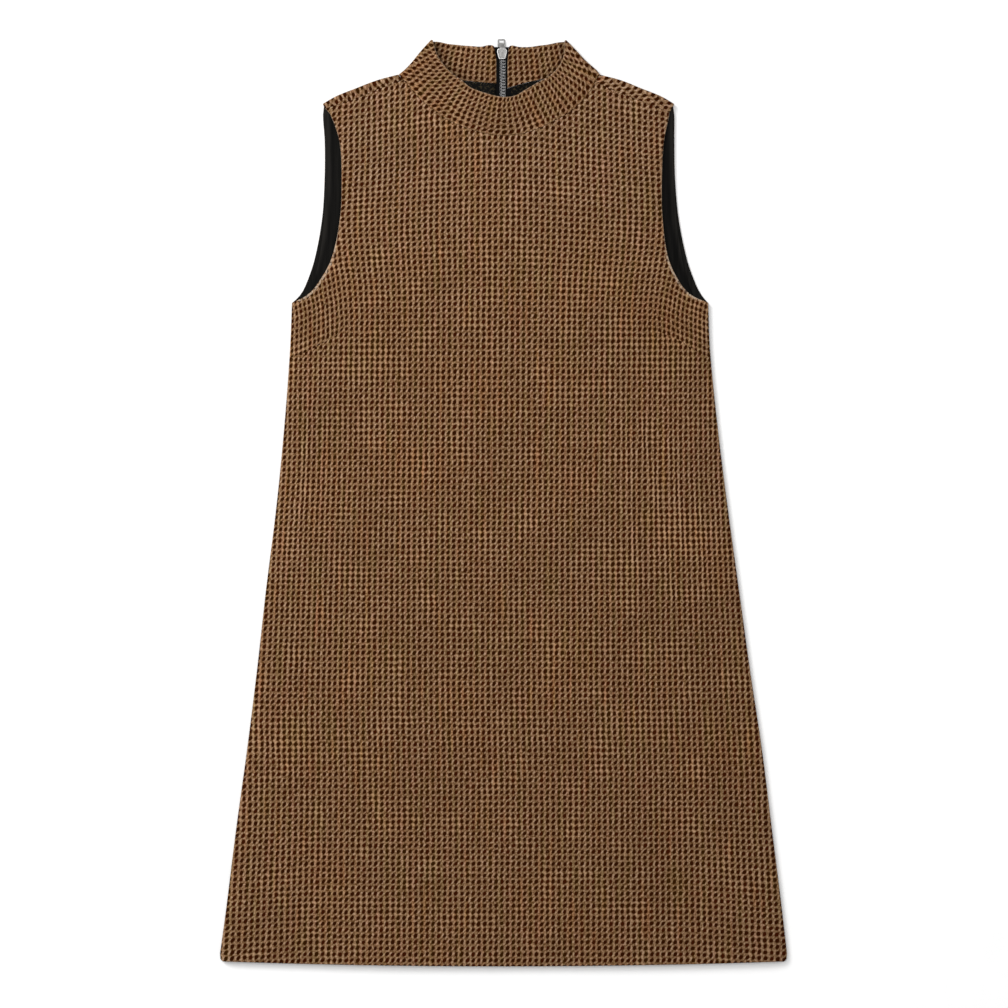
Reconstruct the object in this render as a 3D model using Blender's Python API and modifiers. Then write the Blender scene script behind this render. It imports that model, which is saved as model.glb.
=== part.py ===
"""A sleeveless a-line dress with a stand-up collar, laid flat, front side up.

Metres, +Z up. The back lies on Z = 0, the neck points to +Y, and the origin is
the centre of the dress's box on the surface it lies on. Left and right are as
seen from above, so left is -X. Lengths below are in millimetres; MM turns them
into metres. Every cloth piece is an open sheet laid through its sections at
mid thickness, then given its wall by Solidify.
"""
import math

import bmesh
import bpy

MM = 0.001

# ---- driving sizes, mm ----
CLOTH = 1.8  # tweed wall
COLLAR = 2.6  # collar wall, tweed doubled on itself
LINING = 0.8
TAPE = 0.8
GAP = 0.3  # between neighbouring pieces
ZIP_X = -1.0  # centre line of the zip and of the centre back seam
ZIP_TOP = 454.5
ZIP_END = -45.0  # the zip is 500 mm long
CHAIN_W, CHAIN_T = 5.5, 2.4
TAPE_HALF = 14.0  # a tape's outer edge from the zip's centre line, on the body
TAPE_HALF_COLLAR = 5.4  # and between the ends of the collar
LIFT_BODY = 2.4  # rise of the back panels at the neck seam, over the slider
LIFT_COLLAR = 3.6  # rise of the collar's back there
LIFT_HALF_WIDTH = 80.0
LIFT_LENGTH = 110.0
NECK_Y = 417.5
PAIR = CLOTH + GAP  # underside of a front panel that lies straight on a back
FRONT_EDGE = 3.4  # underside of the front along armholes and shoulders
FRONT_MID = 4.8  # underside of the front away from its edges
FRONT_RISE = 3.0  # what it rises over the zip and the back's lift
COLLAR_FRONT = 4.3  # underside of the collar's front part
BUST_RISE = 0.8
LINING_HEM = 150.0
SLIDER_Y = (443.5, 454.0)
PULL_Y, PULL_Z = 448.4, 1.88  # pull tab's pivot
PULL_LONG, PULL_WIDE, PULL_T = 15.5, 7.5, 1.0

# ---- tables of sections, mm ----
# side seams, hem to armpit: y, left x, right x
SIDE = [
    (-452.0, -283.5, 283.5),
    (-407.5, -277.5, 278.5),
    (-327.5, -267.5, 268.5),
    (-247.5, -256.5, 258.5),
    (-167.5, -246.5, 246.5),
    (-87.5, -237.5, 235.5),
    (-7.5, -227.5, 224.5),
    (72.5, -219.5, 214.5),
    (152.5, -213.5, 206.5),
    (199.8, -211.5, 204.7),
]
# armholes, armpit to shoulder: y, front left x, back left x, front right x, back right x
ARMHOLE = [
    (199.8, -211.0, -211.5, 204.2, 204.7),
    (207.0, -197.0, -204.0, 188.6, 198.6),
    (217.5, -186.8, -198.0, 178.0, 192.8),
    (243.8, -172.2, -189.0, 165.2, 183.5),
    (285.0, -163.5, -181.5, 159.1, 175.2),
    (325.0, -161.9, -179.1, 158.5, 171.7),
    (361.0, -164.1, -179.0, 160.5, 171.0),
    (387.5, -172.9, -180.7, 165.8, 171.0),
]
# fold of the back over each shoulder, neck to tip: x, y, width of the strip that lies on the front
SHOULDER_L = [
    (-105.3, 428.1, 8.2),
    (-126.5, 422.5, 9.0),
    (-147.5, 414.5, 9.8),
    (-167.5, 406.5, 9.2),
    (-181.0, 398.8, 5.5),
]
SHOULDER_R = [
    (96.8, 427.8, 9.0),
    (117.5, 422.5, 12.4),
    (137.5, 414.5, 12.2),
    (157.5, 406.5, 12.0),
    (171.0, 398.8, 10.0),
]
# collar, from the zip round the left fold, the front and the right fold back to the zip:
# x, y at the neck seam, then x, y at the top edge
COLLAR_BACK_L = [
    (-7.1, 419.3, -7.1, 454.6),
    (-17.5, 419.9, -18.5, 455.5),
    (-38.5, 422.0, -33.5, 455.6),
    (-70.0, 424.0, -53.5, 458.2),
]
FOLD_L = (-105.0, 428.0, -74.3, 460.7)
COLLAR_FRONT_ROWS = [
    (-96.5, 418.5, -66.5, 447.5),
    (-83.5, 403.5, -55.0, 432.5),
    (-69.5, 392.5, -42.0, 422.5),
    (-57.5, 383.5, -32.0, 414.5),
    (-36.5, 374.5, -16.5, 409.0),
    (-10.5, 367.6, -2.0, 405.6),
    (15.0, 368.3, 11.0, 406.6),
    (34.0, 373.6, 22.0, 412.8),
    (49.0, 381.0, 35.5, 420.8),
    (64.5, 389.3, 46.5, 427.0),
    (78.5, 401.5, 55.0, 436.0),
    (87.8, 413.5, 61.0, 448.0),
]
FOLD_R = (96.5, 427.8, 65.0, 460.7)
COLLAR_BACK_R = [
    (70.0, 425.0, 51.5, 458.2),
    (45.0, 424.3, 36.5, 456.4),
    (25.5, 420.8, 16.5, 455.4),
    (12.0, 416.8, 8.5, 456.0),
    (4.9, 414.8, 4.9, 454.6),
]
# hem: y at the side, extra drop at the middle, corner rounding
HEM_SIDE, HEM_DROP, HEM_CORNER = -459.0, 4.9, 3.0

SPINE_L, SPINE_R = -7.1, 4.9  # the backs' edges beside the chain


# ---- curves through the tables ----
def line(points, t):
    """A smooth curve through points, read at t from 0 to 1 of its length."""
    run = [0.0]
    for a, b in zip(points, points[1:]):
        run.append(run[-1] + math.dist(a[:2], b[:2]))
    s = min(max(t, 0.0), 1.0) * run[-1]
    k = 0
    while k < len(points) - 2 and s > run[k + 1]:
        k += 1
    h = run[k + 1] - run[k]
    w = (s - run[k]) / h

    def slope(i):
        if i == 0 or i == len(points) - 1:
            a, b = (0, 1) if i == 0 else (i - 1, i)
        else:
            a, b = i - 1, i + 1
        return [(q - p) / (run[b] - run[a]) for p, q in zip(points[a], points[b])]

    ma, mb = slope(k), slope(k + 1)
    h00, h10 = 2 * w**3 - 3 * w**2 + 1, w**3 - 2 * w**2 + w
    h01, h11 = -2 * w**3 + 3 * w**2, w**3 - w**2
    return [
        h00 * p + h10 * h * a + h01 * q + h11 * h * b
        for p, q, a, b in zip(points[k], points[k + 1], ma, mb)
    ]


def at_y(rows, y, column):
    """A table's column read straight between its rows at height y."""
    if y <= rows[0][0]:
        return rows[0][column]
    for low, high in zip(rows, rows[1:]):
        if y <= high[0]:
            w = (y - low[0]) / (high[0] - low[0])
            return low[column] * (1 - w) + high[column] * w
    return rows[-1][column]


def smooth(t):
    t = min(max(t, 0.0), 1.0)
    return t * t * (3 - 2 * t)


def across(x):
    """1 on the zip's line, falling to 0 at LIFT_HALF_WIDTH to either side."""
    return math.cos(math.pi / 2 * min(1.0, abs(x - ZIP_X) / LIFT_HALF_WIDTH)) ** 2


def bump(x, y):
    return across(x) * smooth(1 - (NECK_Y - y) / LIFT_LENGTH)


def back_low(x, y):
    """Outer face of the back panels: flat, raised at the neck over the slider."""
    return LIFT_BODY * bump(x, y)


def collar_low(x, y):
    return across(x) * (LIFT_COLLAR + 0.35 * (y - NECK_Y) / 37.0)


def front_low(x, y, inset, rise):
    """Underside of the front panel: inset is the distance from its side edge,
    rise goes from 0 at the armpit to 1 at the shoulder."""
    edge = PAIR + (FRONT_EDGE - PAIR) * smooth(rise * 10.0)
    mid = FRONT_MID + FRONT_RISE * bump(x, y)
    for bx in (-130.0, 125.0):
        mid += BUST_RISE * math.exp(-((x - bx) ** 2 + (y - 188.0) ** 2) / (2 * 42.0**2))
    return edge + (mid - edge) * (1 - math.exp(-max(inset, 0.0) / 5.0))


def hem_y(x):
    w = min(1.0, abs(x) / 283.5)
    return HEM_SIDE - HEM_DROP * (1 - w * w)


def unit(x, y):
    n = math.hypot(x, y)
    return x / n, y / n


# ---- one sheet of cloth ----
def sheet(name, nu, nv, place, wall, material, keep=None):
    mesh = bpy.data.meshes.new(name)
    bm = bmesh.new()
    bmesh.ops.create_grid(bm, x_segments=nu, y_segments=nv, size=0.5)
    xs = sorted({round(v.co.x, 5) for v in bm.verts})
    ys = sorted({round(v.co.y, 5) for v in bm.verts})
    where = {}
    for v in bm.verts:
        i, j = xs.index(round(v.co.x, 5)), ys.index(round(v.co.y, 5))
        where[v] = (i, j)
    if keep:
        gone = [f for f in bm.faces if not keep(*[min(where[v][k] for v in f.verts) for k in (0, 1)])]
        bmesh.ops.delete(bm, geom=gone, context="FACES")
    for v in bm.verts:
        v.co = [c * MM for c in place(*where[v])]
    bm.to_mesh(mesh)
    bm.free()
    obj = bpy.data.objects.new(name, mesh)
    garment.objects.link(obj)
    mesh.materials.append(material)
    mesh.shade_smooth()
    solid = obj.modifiers.new("wall", "SOLIDIFY")
    solid.thickness = wall * MM
    solid.offset = 0.0
    return obj


def patch(bottom, top, left, right, u, v):
    """Coons patch of four edge curves; each gives x, y at 0 to 1."""
    b, t, l, r = bottom(u), top(u), left(v), right(v)
    c00, c10, c01, c11 = bottom(0.0), bottom(1.0), top(0.0), top(1.0)
    return [
        (1 - v) * b[k] + v * t[k] + (1 - u) * l[k] + u * r[k]
        - (1 - u) * (1 - v) * c00[k] - u * (1 - v) * c10[k]
        - (1 - u) * v * c01[k] - u * v * c11[k]
        for k in (0, 1)
    ]


def seam_dip(u, y):
    """Rows of the body sink towards their middle as they near the armpits."""
    return 42.0 * smooth((y + 60.0) / 260.0) * (1 - (2 * u - 1) ** 2)


# ---- shoulders ----
def shoulder(rows, t):
    """Point on the shoulder's fold, strip width there, and the way inwards."""
    x, y, wide = line(rows, t)
    ax, ay, _ = line(rows, max(0.0, t - 0.02))
    bx, by, _ = line(rows, min(1.0, t + 0.02))
    fold = FOLD_L if rows is SHOULDER_L else FOLD_R
    side = 1.0 if rows is SHOULDER_L else -1.0
    nx, ny = unit(-(by - ay) * side, (bx - ax) * side)
    cx, cy = unit((fold[3] - fold[1]) * side, -(fold[2] - fold[0]) * side)
    w = smooth(1 - t / 0.3)
    nx, ny = unit(nx * (1 - w) + cx * w, ny * (1 - w) + cy * w)
    return x, y, wide, nx, ny


def shoulder_level(rows, t):
    x, y, wide, nx, ny = shoulder(rows, t)
    length = sum(math.dist(a[:2], b[:2]) for a, b in zip(rows, rows[1:]))
    return front_low(x, y, (1 - t) * length, 1.0)


# ---- front panel ----
FRONT_SHOULDER = 5  # columns under each shoulder
FRONT_NECK = 18  # columns under the collar, one for each of the collar's own
FRONT_UP = 8  # rows above the armpits
FRONT_ROWS = [-460.0, -450.0, -410.0, -360.0, -305.0, -250.0, -195.0, -140.0, -85.0,
              -30.0, 25.0, 75.0, 120.0, 155.0, 180.0, 199.8]
FRONT_COLS = 2 * FRONT_SHOULDER + FRONT_NECK


SEAM = GAP + 0.15  # between the bodies' neck edges and the collar's


def front_corner(rows, t):
    """The front's edge along the forward shoulder seam."""
    x, y, wide, nx, ny = shoulder(rows, t)
    if t <= 0.0:
        bx, by, nx, ny = strip_start(rows)
        reach = wide + SEAM - math.dist((x, y), (bx, by))
        return bx + nx * reach, by + ny * reach
    reach = wide + SEAM
    return x + nx * reach, y + ny * reach


def collar_seam(i):
    """The collar's lower edge at its column i, moved SEAM off it."""
    x, y, _ = collar_place(i, 0)
    ax, ay, _ = collar_place(i - 1, 0)
    bx, by, _ = collar_place(i + 1, 0)
    front = C_BACK + C_FOLD <= i <= C_BACK + C_FOLD + C_FRONT
    if i == C_BACK + C_FOLD:
        ax, ay = x, y
    if i == C_BACK + C_FOLD + C_FRONT:
        bx, by = x, y
    nx, ny = unit(by - ay, -(bx - ax))
    if not front:
        nx, ny = -nx, -ny
    return x + nx * SEAM, y + ny * SEAM


def strip_start(rows):
    """The neck end of a shoulder strip: its start and its way along the collar."""
    i = C_BACK + C_FOLD + (0 if rows is SHOULDER_L else C_FRONT)
    step = 1 if rows is SHOULDER_L else -1
    ax, ay = collar_seam(i)
    bx, by = collar_seam(i + step)
    nx, ny = unit(bx - ax, by - ay)
    return ax, ay, nx, ny


def neck_curve(t):
    """The body's neck edge, just below the collar's front."""
    k = round(t * FRONT_NECK)
    if k == 0:
        return front_corner(SHOULDER_L, 0.0)
    if k == FRONT_NECK:
        return front_corner(SHOULDER_R, 0.0)
    return collar_seam(C_BACK + C_FOLD + k)


def front_top(u):
    a, b = FRONT_SHOULDER / FRONT_COLS, 1 - FRONT_SHOULDER / FRONT_COLS
    if u <= a:
        return front_corner(SHOULDER_L, 1 - u / a)
    if u >= b:
        return front_corner(SHOULDER_R, (u - b) / (1 - b))
    return neck_curve((u - a) / (b - a))


def front_arm(side, t):
    column = 1 if side < 0 else 3
    rows = SHOULDER_L if side < 0 else SHOULDER_R
    points = [(r[column], r[0]) for r in ARMHOLE] + [front_corner(rows, 1.0)]
    return line(points, t)


def body_row(u, y, left, right):
    """A row of the body between two edges; the lowest is the hem."""
    x = left + (right - left) * u
    if y <= FRONT_ROWS[0]:
        return x, hem_y(x)
    return x, y - seam_dip(u, y)


def front_place(i, j):
    u = i / FRONT_COLS
    lower = len(FRONT_ROWS) - 1
    if j <= lower:
        y = FRONT_ROWS[j]
        left, right = at_y(SIDE, y, 1), at_y(SIDE, y, 2)
        if j == 0:
            left, right = left + HEM_CORNER, right - HEM_CORNER
        x, y = body_row(u, y, left, right)
        inset, rise = min(u, 1 - u) * (right - left), 0.0
    else:
        v = (j - lower) / FRONT_UP
        top = FRONT_ROWS[-1]
        left, right = ARMHOLE[0][1], ARMHOLE[0][3]
        x, y = patch(
            lambda s: body_row(s, top, left, right),
            front_top,
            lambda s: front_arm(-1, s),
            lambda s: front_arm(1, s),
            u, v,
        )
        inset, rise = min(u, 1 - u) * 345.0, v
    return x, y, front_low(x, y, inset, rise) + CLOTH / 2


# ---- back panels ----
BACK_NECK = 7
BACK_SHOULDER = 5
BACK_COLS = BACK_NECK + BACK_SHOULDER
BACK_UP = 8
BACK_ROWS = [-460.0, -450.0, -410.0, -360.0, -305.0, -250.0, -195.0, -140.0, -90.0,
             -52.0, -46.0, 0.0, 50.0, 100.0, 140.0, 175.0, 199.8]
WRAP_FOLD, WRAP_STRIP = 4, 2


def back_neck(side, t, away):
    """The body's edge below the collar's back, zip to shoulder."""
    last = 2 * C_BACK + 2 * C_FOLD + C_FRONT
    points = []
    for k in range(C_BACK):
        x, y, _ = collar_place(k if side < 0 else last - k, 0)
        points.append((x, y - away))
    points.append(wrap_base(SHOULDER_L if side < 0 else SHOULDER_R, 0.0))
    k = min(int(t * C_BACK + 1e-6), C_BACK - 1)
    w = t * C_BACK - k
    return [p * (1 - w) + q * w for p, q in zip(points[k], points[k + 1])]


def wrap_base(rows, t):
    """Where the back leaves the surface to fold over the shoulder."""
    x, y, wide, nx, ny = shoulder(rows, t)
    inset = CLOTH / 2 + shoulder_level(rows, t) / 2
    fx, fy = (0.0, 0.0)
    if t <= 0.0:  # clear of the collar's end
        fold = FOLD_L if rows is SHOULDER_L else FOLD_R
        dx, dy = unit(fold[2] - fold[0], fold[3] - fold[1])
        fx, fy = -dx * SEAM, -dy * SEAM
    return x + nx * inset + fx, y + ny * inset + fy


def back_arm(side, t):
    column = 2 if side < 0 else 4
    rows = SHOULDER_L if side < 0 else SHOULDER_R
    points = [(r[column], r[0]) for r in ARMHOLE] + [wrap_base(rows, 1.0)]
    return line(points, t)


def spine(side, y):
    """A back panel's edge at the centre: beside the chain, then at the seam."""
    open_x = SPINE_L if side < 0 else SPINE_R
    w = smooth((-46.0 - y) / 6.0)
    return open_x * (1 - w) + (ZIP_X + side * GAP / 2) * w


def back_place(side, i, j):
    u = i / BACK_COLS
    lower = len(BACK_ROWS) - 1
    rows = SHOULDER_L if side < 0 else SHOULDER_R
    a = BACK_NECK / BACK_COLS
    half = u / 2 + 0.5
    if j <= lower:
        y = BACK_ROWS[j]
        edge = at_y(SIDE, y, 1 if side < 0 else 2)
        if j == 0:
            edge -= side * HEM_CORNER
        mid = spine(side, y)
        x = mid + (edge - mid) * u
        y = hem_y(x) + 1.2 if j == 0 else y - seam_dip(half, y)
        return x, y, back_low(x, y) + CLOTH / 2
    v = (j - lower) / BACK_UP
    if v <= 1.0:
        top = BACK_ROWS[-1]
        edge = ARMHOLE[0][2 if side < 0 else 4]
        mid = spine(side, top)
        neck = back_neck(side, 0.0, SEAM)

        def low(s):
            return mid + (edge - mid) * s, top - seam_dip(s / 2 + 0.5, top)

        def high(s):
            if s <= a:
                return back_neck(side, s / a, SEAM)
            return wrap_base(rows, (s - a) / (1 - a))

        y0 = low(0.0)[1]
        x, y = patch(
            low, high,
            lambda s: (mid, y0 + (neck[1] - y0) * s),
            lambda s: back_arm(side, s),
            u, v,
        )
        return x, y, back_low(x, y) + CLOTH / 2
    # over the shoulder and on to the front
    t = (u - a) / (1 - a)
    k = j - lower - BACK_UP
    x, y, wide, nx, ny = shoulder(rows, t)
    level = shoulder_level(rows, t)
    radius = level / 2
    bx, by = wrap_base(rows, t)
    middle = CLOTH / 2 + radius
    if k <= WRAP_FOLD:
        angle = -math.pi / 2 + math.pi * k / WRAP_FOLD
        out = radius * math.cos(angle)
        return bx - nx * out, by - ny * out, middle + radius * math.sin(angle)
    w = (k - WRAP_FOLD) / WRAP_STRIP
    strip = wide - CLOTH / 2 - radius
    if t <= 0.0:
        sx, sy, nx, ny = strip_start(rows)
        strip = wide - math.dist((x, y), (sx, sy))
        bx, by = bx * (1 - w) + sx * w, by * (1 - w) + sy * w
    return bx + nx * strip * w, by + ny * strip * w, level + CLOTH / 2


# ---- collar ----
C_BACK, C_FOLD, C_FRONT, C_UP = BACK_NECK, 4, FRONT_NECK, 4


def fold_base(fold, side, v):
    """Where the collar's wall leaves its fold, v up from the neck seam."""
    x = fold[0] + (fold[2] - fold[0]) * v
    y = fold[1] + (fold[3] - fold[1]) * v
    nx, ny = unit(-(fold[3] - fold[1]) * side, (fold[2] - fold[0]) * side)
    low, high = collar_low(x, y), collar_front_low(x, y)
    inset = COLLAR / 2 + (high - low) / 2
    return x + nx * inset, y + ny * inset, nx, ny, low + COLLAR / 2, high + COLLAR / 2


def collar_front_low(x, y):
    return COLLAR_FRONT + FRONT_RISE * bump(x, y)


def collar_place(i, j):
    v = j / C_UP
    n = 2 * C_BACK + 2 * C_FOLD + C_FRONT
    side = -1
    if i > n / 2:
        side = 1
    fold = FOLD_L if side < 0 else FOLD_R
    bx, by, nx, ny, low, high = fold_base(fold, side, v)
    k = i if side < 0 else n - i

    def mix(rows):
        return [(r[0] + (r[2] - r[0]) * v, r[1] + (r[3] - r[1]) * v) for r in rows]

    if k <= C_BACK:
        rows = COLLAR_BACK_L if side < 0 else COLLAR_BACK_R[::-1]
        x, y = line(mix(rows) + [(bx, by)], k / C_BACK)
        return x, y, collar_low(x, y) * (1 - k / C_BACK) + (low - COLLAR / 2) * k / C_BACK + COLLAR / 2
    if k < C_BACK + C_FOLD:
        angle = -math.pi / 2 + math.pi * (k - C_BACK) / C_FOLD
        radius = (high - low) / 2
        out = radius * math.cos(angle)
        return bx - nx * out, by - ny * out, (low + high) / 2 + radius * math.sin(angle)
    lx, ly = fold_base(FOLD_L, -1, v)[:2]
    rx, ry = fold_base(FOLD_R, 1, v)[:2]
    t = (i - C_BACK - C_FOLD) / C_FRONT
    x, y = line([(lx, ly)] + mix(COLLAR_FRONT_ROWS) + [(rx, ry)], t)
    return x, y, collar_front_low(x, y) + COLLAR / 2


# ---- back lining ----
LINING_EDGE = 7.0  # its edge from the zip's centre line
LINING_COLS = [0.0, 8.5, 12.0]  # mm from that edge, then even columns
LINING_EVEN = 8
LINING_UP = 12


def lining_mid(x, y):
    over_tape = 1.3 * smooth((19.0 - abs(x - ZIP_X)) / 3.6)
    return back_low(x, y) + PAIR + LINING / 2 + over_tape


def lining_place(side, i, j):
    rows = SHOULDER_L if side < 0 else SHOULDER_R
    start = ZIP_X + side * LINING_EDGE
    n = len(LINING_COLS) - 1 + LINING_EVEN

    def share(width):
        if i < len(LINING_COLS):
            return LINING_COLS[i] / width
        w = (i - len(LINING_COLS) + 1) / LINING_EVEN
        return (LINING_COLS[-1] + (width - LINING_COLS[-1]) * w) / width

    low_rows = 3
    if j <= low_rows:
        w = j / low_rows
        y = LINING_HEM + (199.8 - LINING_HEM) * w
        edge = at_y(SIDE, y, 1 if side < 0 else 2) - side * (8.0 + 2.0 * w)
        u = share(abs(edge - start))
        x = start + (edge - start) * u
        y -= seam_dip(u / 2 + 0.5, y)
        return x, y, lining_mid(x, y)
    v = (j - low_rows) / (LINING_UP - low_rows)
    top = 199.8
    edge = ARMHOLE[0][2 if side < 0 else 4] - side * 10.0
    u = share(abs(edge - start))
    a = 0.5

    def low(s):
        return start + (edge - start) * s, top - seam_dip(s / 2 + 0.5, top)

    def high(s):
        if s <= a:
            x, y = back_neck(side, s / a, 0.9)
            w = s / a
            return max(abs(x), 7.9) * side * (1 - w) + x * w if side > 0 else min(x, start), y - 1.0 * w
        x, y = wrap_base(rows, (s - a) / (1 - a))
        return x + side * -1.0 * (s - a) / (1 - a), y - 1.0

    def arm(s):
        x, y = back_arm(side, s)
        return x - side * (9.0 * (1 - s) ** 3 + 1.0), y - (0.0 if s < 1 else 1.0)

    p0, p1 = low(0.0), (start, high(0.0)[1])
    c01, c11 = high(0.0), high(1.0)

    def left(s):
        return p0[0] + (c01[0] - p0[0]) * s, p0[1] + (p1[1] - p0[1]) * s

    x, y = patch(low, high, left, arm, u, v)
    return x, y, lining_mid(x, y)


# ---- zip ----
def zip_mid(y):
    """Height of the tape's middle along the zip."""
    body = PAIR + TAPE / 2 + LIFT_BODY * smooth(1 - (NECK_Y - y) / LIFT_LENGTH)
    top = LIFT_COLLAR + COLLAR / 2 + 0.35 * (y - NECK_Y) / 37.0
    w = smooth((y - 400.0) / 20.0)
    return body * (1 - w) + top * w


TAPE_ROWS = [-45.0, -10.0, 30.0, 70.0, 110.0, 150.0, 190.0, 230.0, 270.0, 307.0, 325.0,
             343.0, 361.0, 379.0, 394.0, 403.0, 409.0, 414.0, 419.5, 432.0, 443.0, 454.5]


def tape_place(side, i, j):
    y = TAPE_ROWS[j]
    near = ZIP_X + side * (CHAIN_W / 2 + GAP)
    limit = 412.0 if side > 0 else 416.0
    wide = TAPE_HALF if y <= limit - 2.0 else TAPE_HALF_COLLAR
    far = ZIP_X + side * wide
    x = near + (far - near) * i / 2
    return x, y, zip_mid(y)


def block(name, rows, material):
    """A bar of rectangular section through rows of centre and half sizes."""
    mesh = bpy.data.meshes.new(name)
    bm = bmesh.new()
    bmesh.ops.create_grid(bm, x_segments=1, y_segments=len(rows) - 1, size=0.5)
    ys = sorted({round(v.co.y, 5) for v in bm.verts})
    for v in bm.verts:
        x, y, z, half, _ = rows[ys.index(round(v.co.y, 5))]
        v.co = [(x + half * (1 if v.co.x > 0 else -1)) * MM, y * MM, z * MM]
    bm.to_mesh(mesh)
    bm.free()
    obj = bpy.data.objects.new(name, mesh)
    garment.objects.link(obj)
    mesh.materials.append(material)
    solid = obj.modifiers.new("wall", "SOLIDIFY")
    solid.thickness = rows[0][4] * MM
    solid.offset = 0.0
    return obj


def plate(name, outline, thick, place, turn, material, where, holes=()):
    """A flat outline with a thickness, its holes cut through."""
    curve = bpy.data.curves.new(name, "CURVE")
    curve.dimensions = "2D"
    curve.fill_mode = "BOTH"
    curve.extrude = thick / 2 * MM
    for ring in (outline, *holes):
        spline = curve.splines.new("POLY")
        spline.points.add(len(ring) - 1)
        for point, (x, y) in zip(spline.points, ring):
            point.co = (x * MM, y * MM, 0.0, 1.0)
        spline.use_cyclic_u = True
    rough = bpy.data.objects.new(name + "_outline", curve)
    garment.objects.link(rough)
    bpy.context.view_layer.update()
    mesh = bpy.data.meshes.new_from_object(rough.evaluated_get(bpy.context.evaluated_depsgraph_get()))
    bpy.data.objects.remove(rough)
    bm = bmesh.new()
    bm.from_mesh(mesh)
    bmesh.ops.remove_doubles(bm, verts=bm.verts, dist=0.00002)
    bmesh.ops.recalc_face_normals(bm, faces=bm.faces)
    bm.to_mesh(mesh)
    bm.free()
    mesh.name = name
    mesh.materials.clear()
    mesh.materials.append(material)
    obj = bpy.data.objects.new(name, mesh)
    obj.location = [c * MM for c in place]
    obj.rotation_euler = turn
    where.objects.link(obj)
    return obj


def rounded(points, radius, steps=3):
    """Corners of a closed outline rounded by arcs."""
    out = []
    n = len(points)
    for k in range(n):
        p, a, b = points[k], points[k - 1], points[(k + 1) % n]
        ua, ub = unit(a[0] - p[0], a[1] - p[1]), unit(b[0] - p[0], b[1] - p[1])
        cut = min(radius, math.dist(p, a) * 0.45, math.dist(p, b) * 0.45)
        for s in range(steps + 1):
            w = s / steps
            qa = (p[0] + ua[0] * cut * (1 - w), p[1] + ua[1] * cut * (1 - w))
            qb = (p[0] + ub[0] * cut * w, p[1] + ub[1] * cut * w)
            out.append((qa[0] * (1 - w) + qb[0] * w, qa[1] * (1 - w) + qb[1] * w))
    return out


def material(name, colour, roughness, metallic=0.0):
    m = bpy.data.materials.new(name)
    m.use_nodes = True
    bsdf = m.node_tree.nodes["Principled BSDF"]
    bsdf.inputs["Base Color"].default_value = (*colour, 1.0)
    bsdf.inputs["Roughness"].default_value = roughness
    bsdf.inputs["Metallic"].default_value = metallic
    return m


# ---- build ----
for old in list(bpy.data.objects):
    bpy.data.objects.remove(old, do_unlink=True)
garment = bpy.data.collections.new("a_line_dress")
bpy.context.scene.collection.children.link(garment)
cutters = bpy.data.collections.new("joined_shapes")
bpy.context.scene.collection.children.link(cutters)

sheet("front_panel", FRONT_COLS, len(FRONT_ROWS) - 1 + FRONT_UP, front_place, CLOTH,
      material("tweed_front", (0.17, 0.09, 0.05), 0.9))

for side, word in ((-1, "left"), (1, "right")):
    first_wrap = len(BACK_ROWS) - 1 + BACK_UP
    sheet(
        f"back_panel_{word}", BACK_COLS, first_wrap + WRAP_FOLD + WRAP_STRIP,
        lambda i, j, s=side: back_place(s, i, j), CLOTH,
        material(f"tweed_back_{word}", (0.16, 0.085, 0.045), 0.9),
        keep=lambda i, j, f=first_wrap: j < f or i >= BACK_NECK,
    )
    sheet(
        f"back_lining_{word}", len(LINING_COLS) - 1 + LINING_EVEN, LINING_UP,
        lambda i, j, s=side: lining_place(s, i, j), LINING,
        material(f"satin_{word}", (0.01, 0.01, 0.01), 0.5),
    )
    sheet(
        f"zip_tape_{word}", 2, len(TAPE_ROWS) - 1,
        lambda i, j, s=side: tape_place(s, i, j), TAPE,
        material(f"tape_{word}", (0.012, 0.012, 0.012), 0.85),
    )

sheet("collar", 2 * C_BACK + 2 * C_FOLD + C_FRONT, C_UP, collar_place, COLLAR,
      material("tweed_collar", (0.17, 0.09, 0.05), 0.9))

block(
    "zip_chain",
    [(ZIP_X, y, zip_mid(y), CHAIN_W / 2, CHAIN_T)
     for y in [-42.0, *TAPE_ROWS[1:-2], 449.6]],
    material("teeth", (0.62, 0.61, 0.58), 0.35, 1.0),
)
block(
    "zip_bottom_stop",
    [(ZIP_X, y, zip_mid(-45.0), 2.7, 3.0) for y in (-45.2, -42.4)],
    material("stop", (0.62, 0.61, 0.58), 0.35, 1.0),
)

# slider: two plates joined by the wedge above the chain, and the bridge that holds the tab
y0, y1 = SLIDER_Y
slider_mid = zip_mid(PULL_Y)
PLATE_T, PLATE_GAP = 0.9, 1.6
slider_outline = rounded(
    [(-3.2, y0), (3.2, y0), (4.1, y0 + 1.6), (5.4, y0 + 6.0), (5.5, y1 - 2.4), (3.8, y1 - 0.1),
     (1.0, y1), (-1.0, y1), (-3.8, y1 - 0.1), (-5.5, y1 - 2.4), (-5.4, y0 + 6.0), (-4.1, y0 + 1.6)],
    1.0,
)
steel = material("slider_metal", (0.6, 0.6, 0.6), 0.25, 1.0)
slider = plate("zip_slider", slider_outline, PLATE_T,
               (ZIP_X, 0, slider_mid - PLATE_GAP - PLATE_T / 2), (0, 0, 0), steel, garment)
inner = plate("slider_inner_plate", slider_outline, PLATE_T,
              (ZIP_X, 0, slider_mid + PLATE_GAP + PLATE_T / 2), (0, 0, 0), steel, cutters)
wedge = plate("slider_wedge", [(-1.7, 453.3), (-0.6, 450.2), (0.6, 450.2), (1.7, 453.3)],
              2 * PLATE_GAP + PLATE_T, (ZIP_X, 0, slider_mid), (0, 0, 0), steel, cutters)
arch_top = slider_mid - PLATE_GAP - PLATE_T / 2
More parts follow.
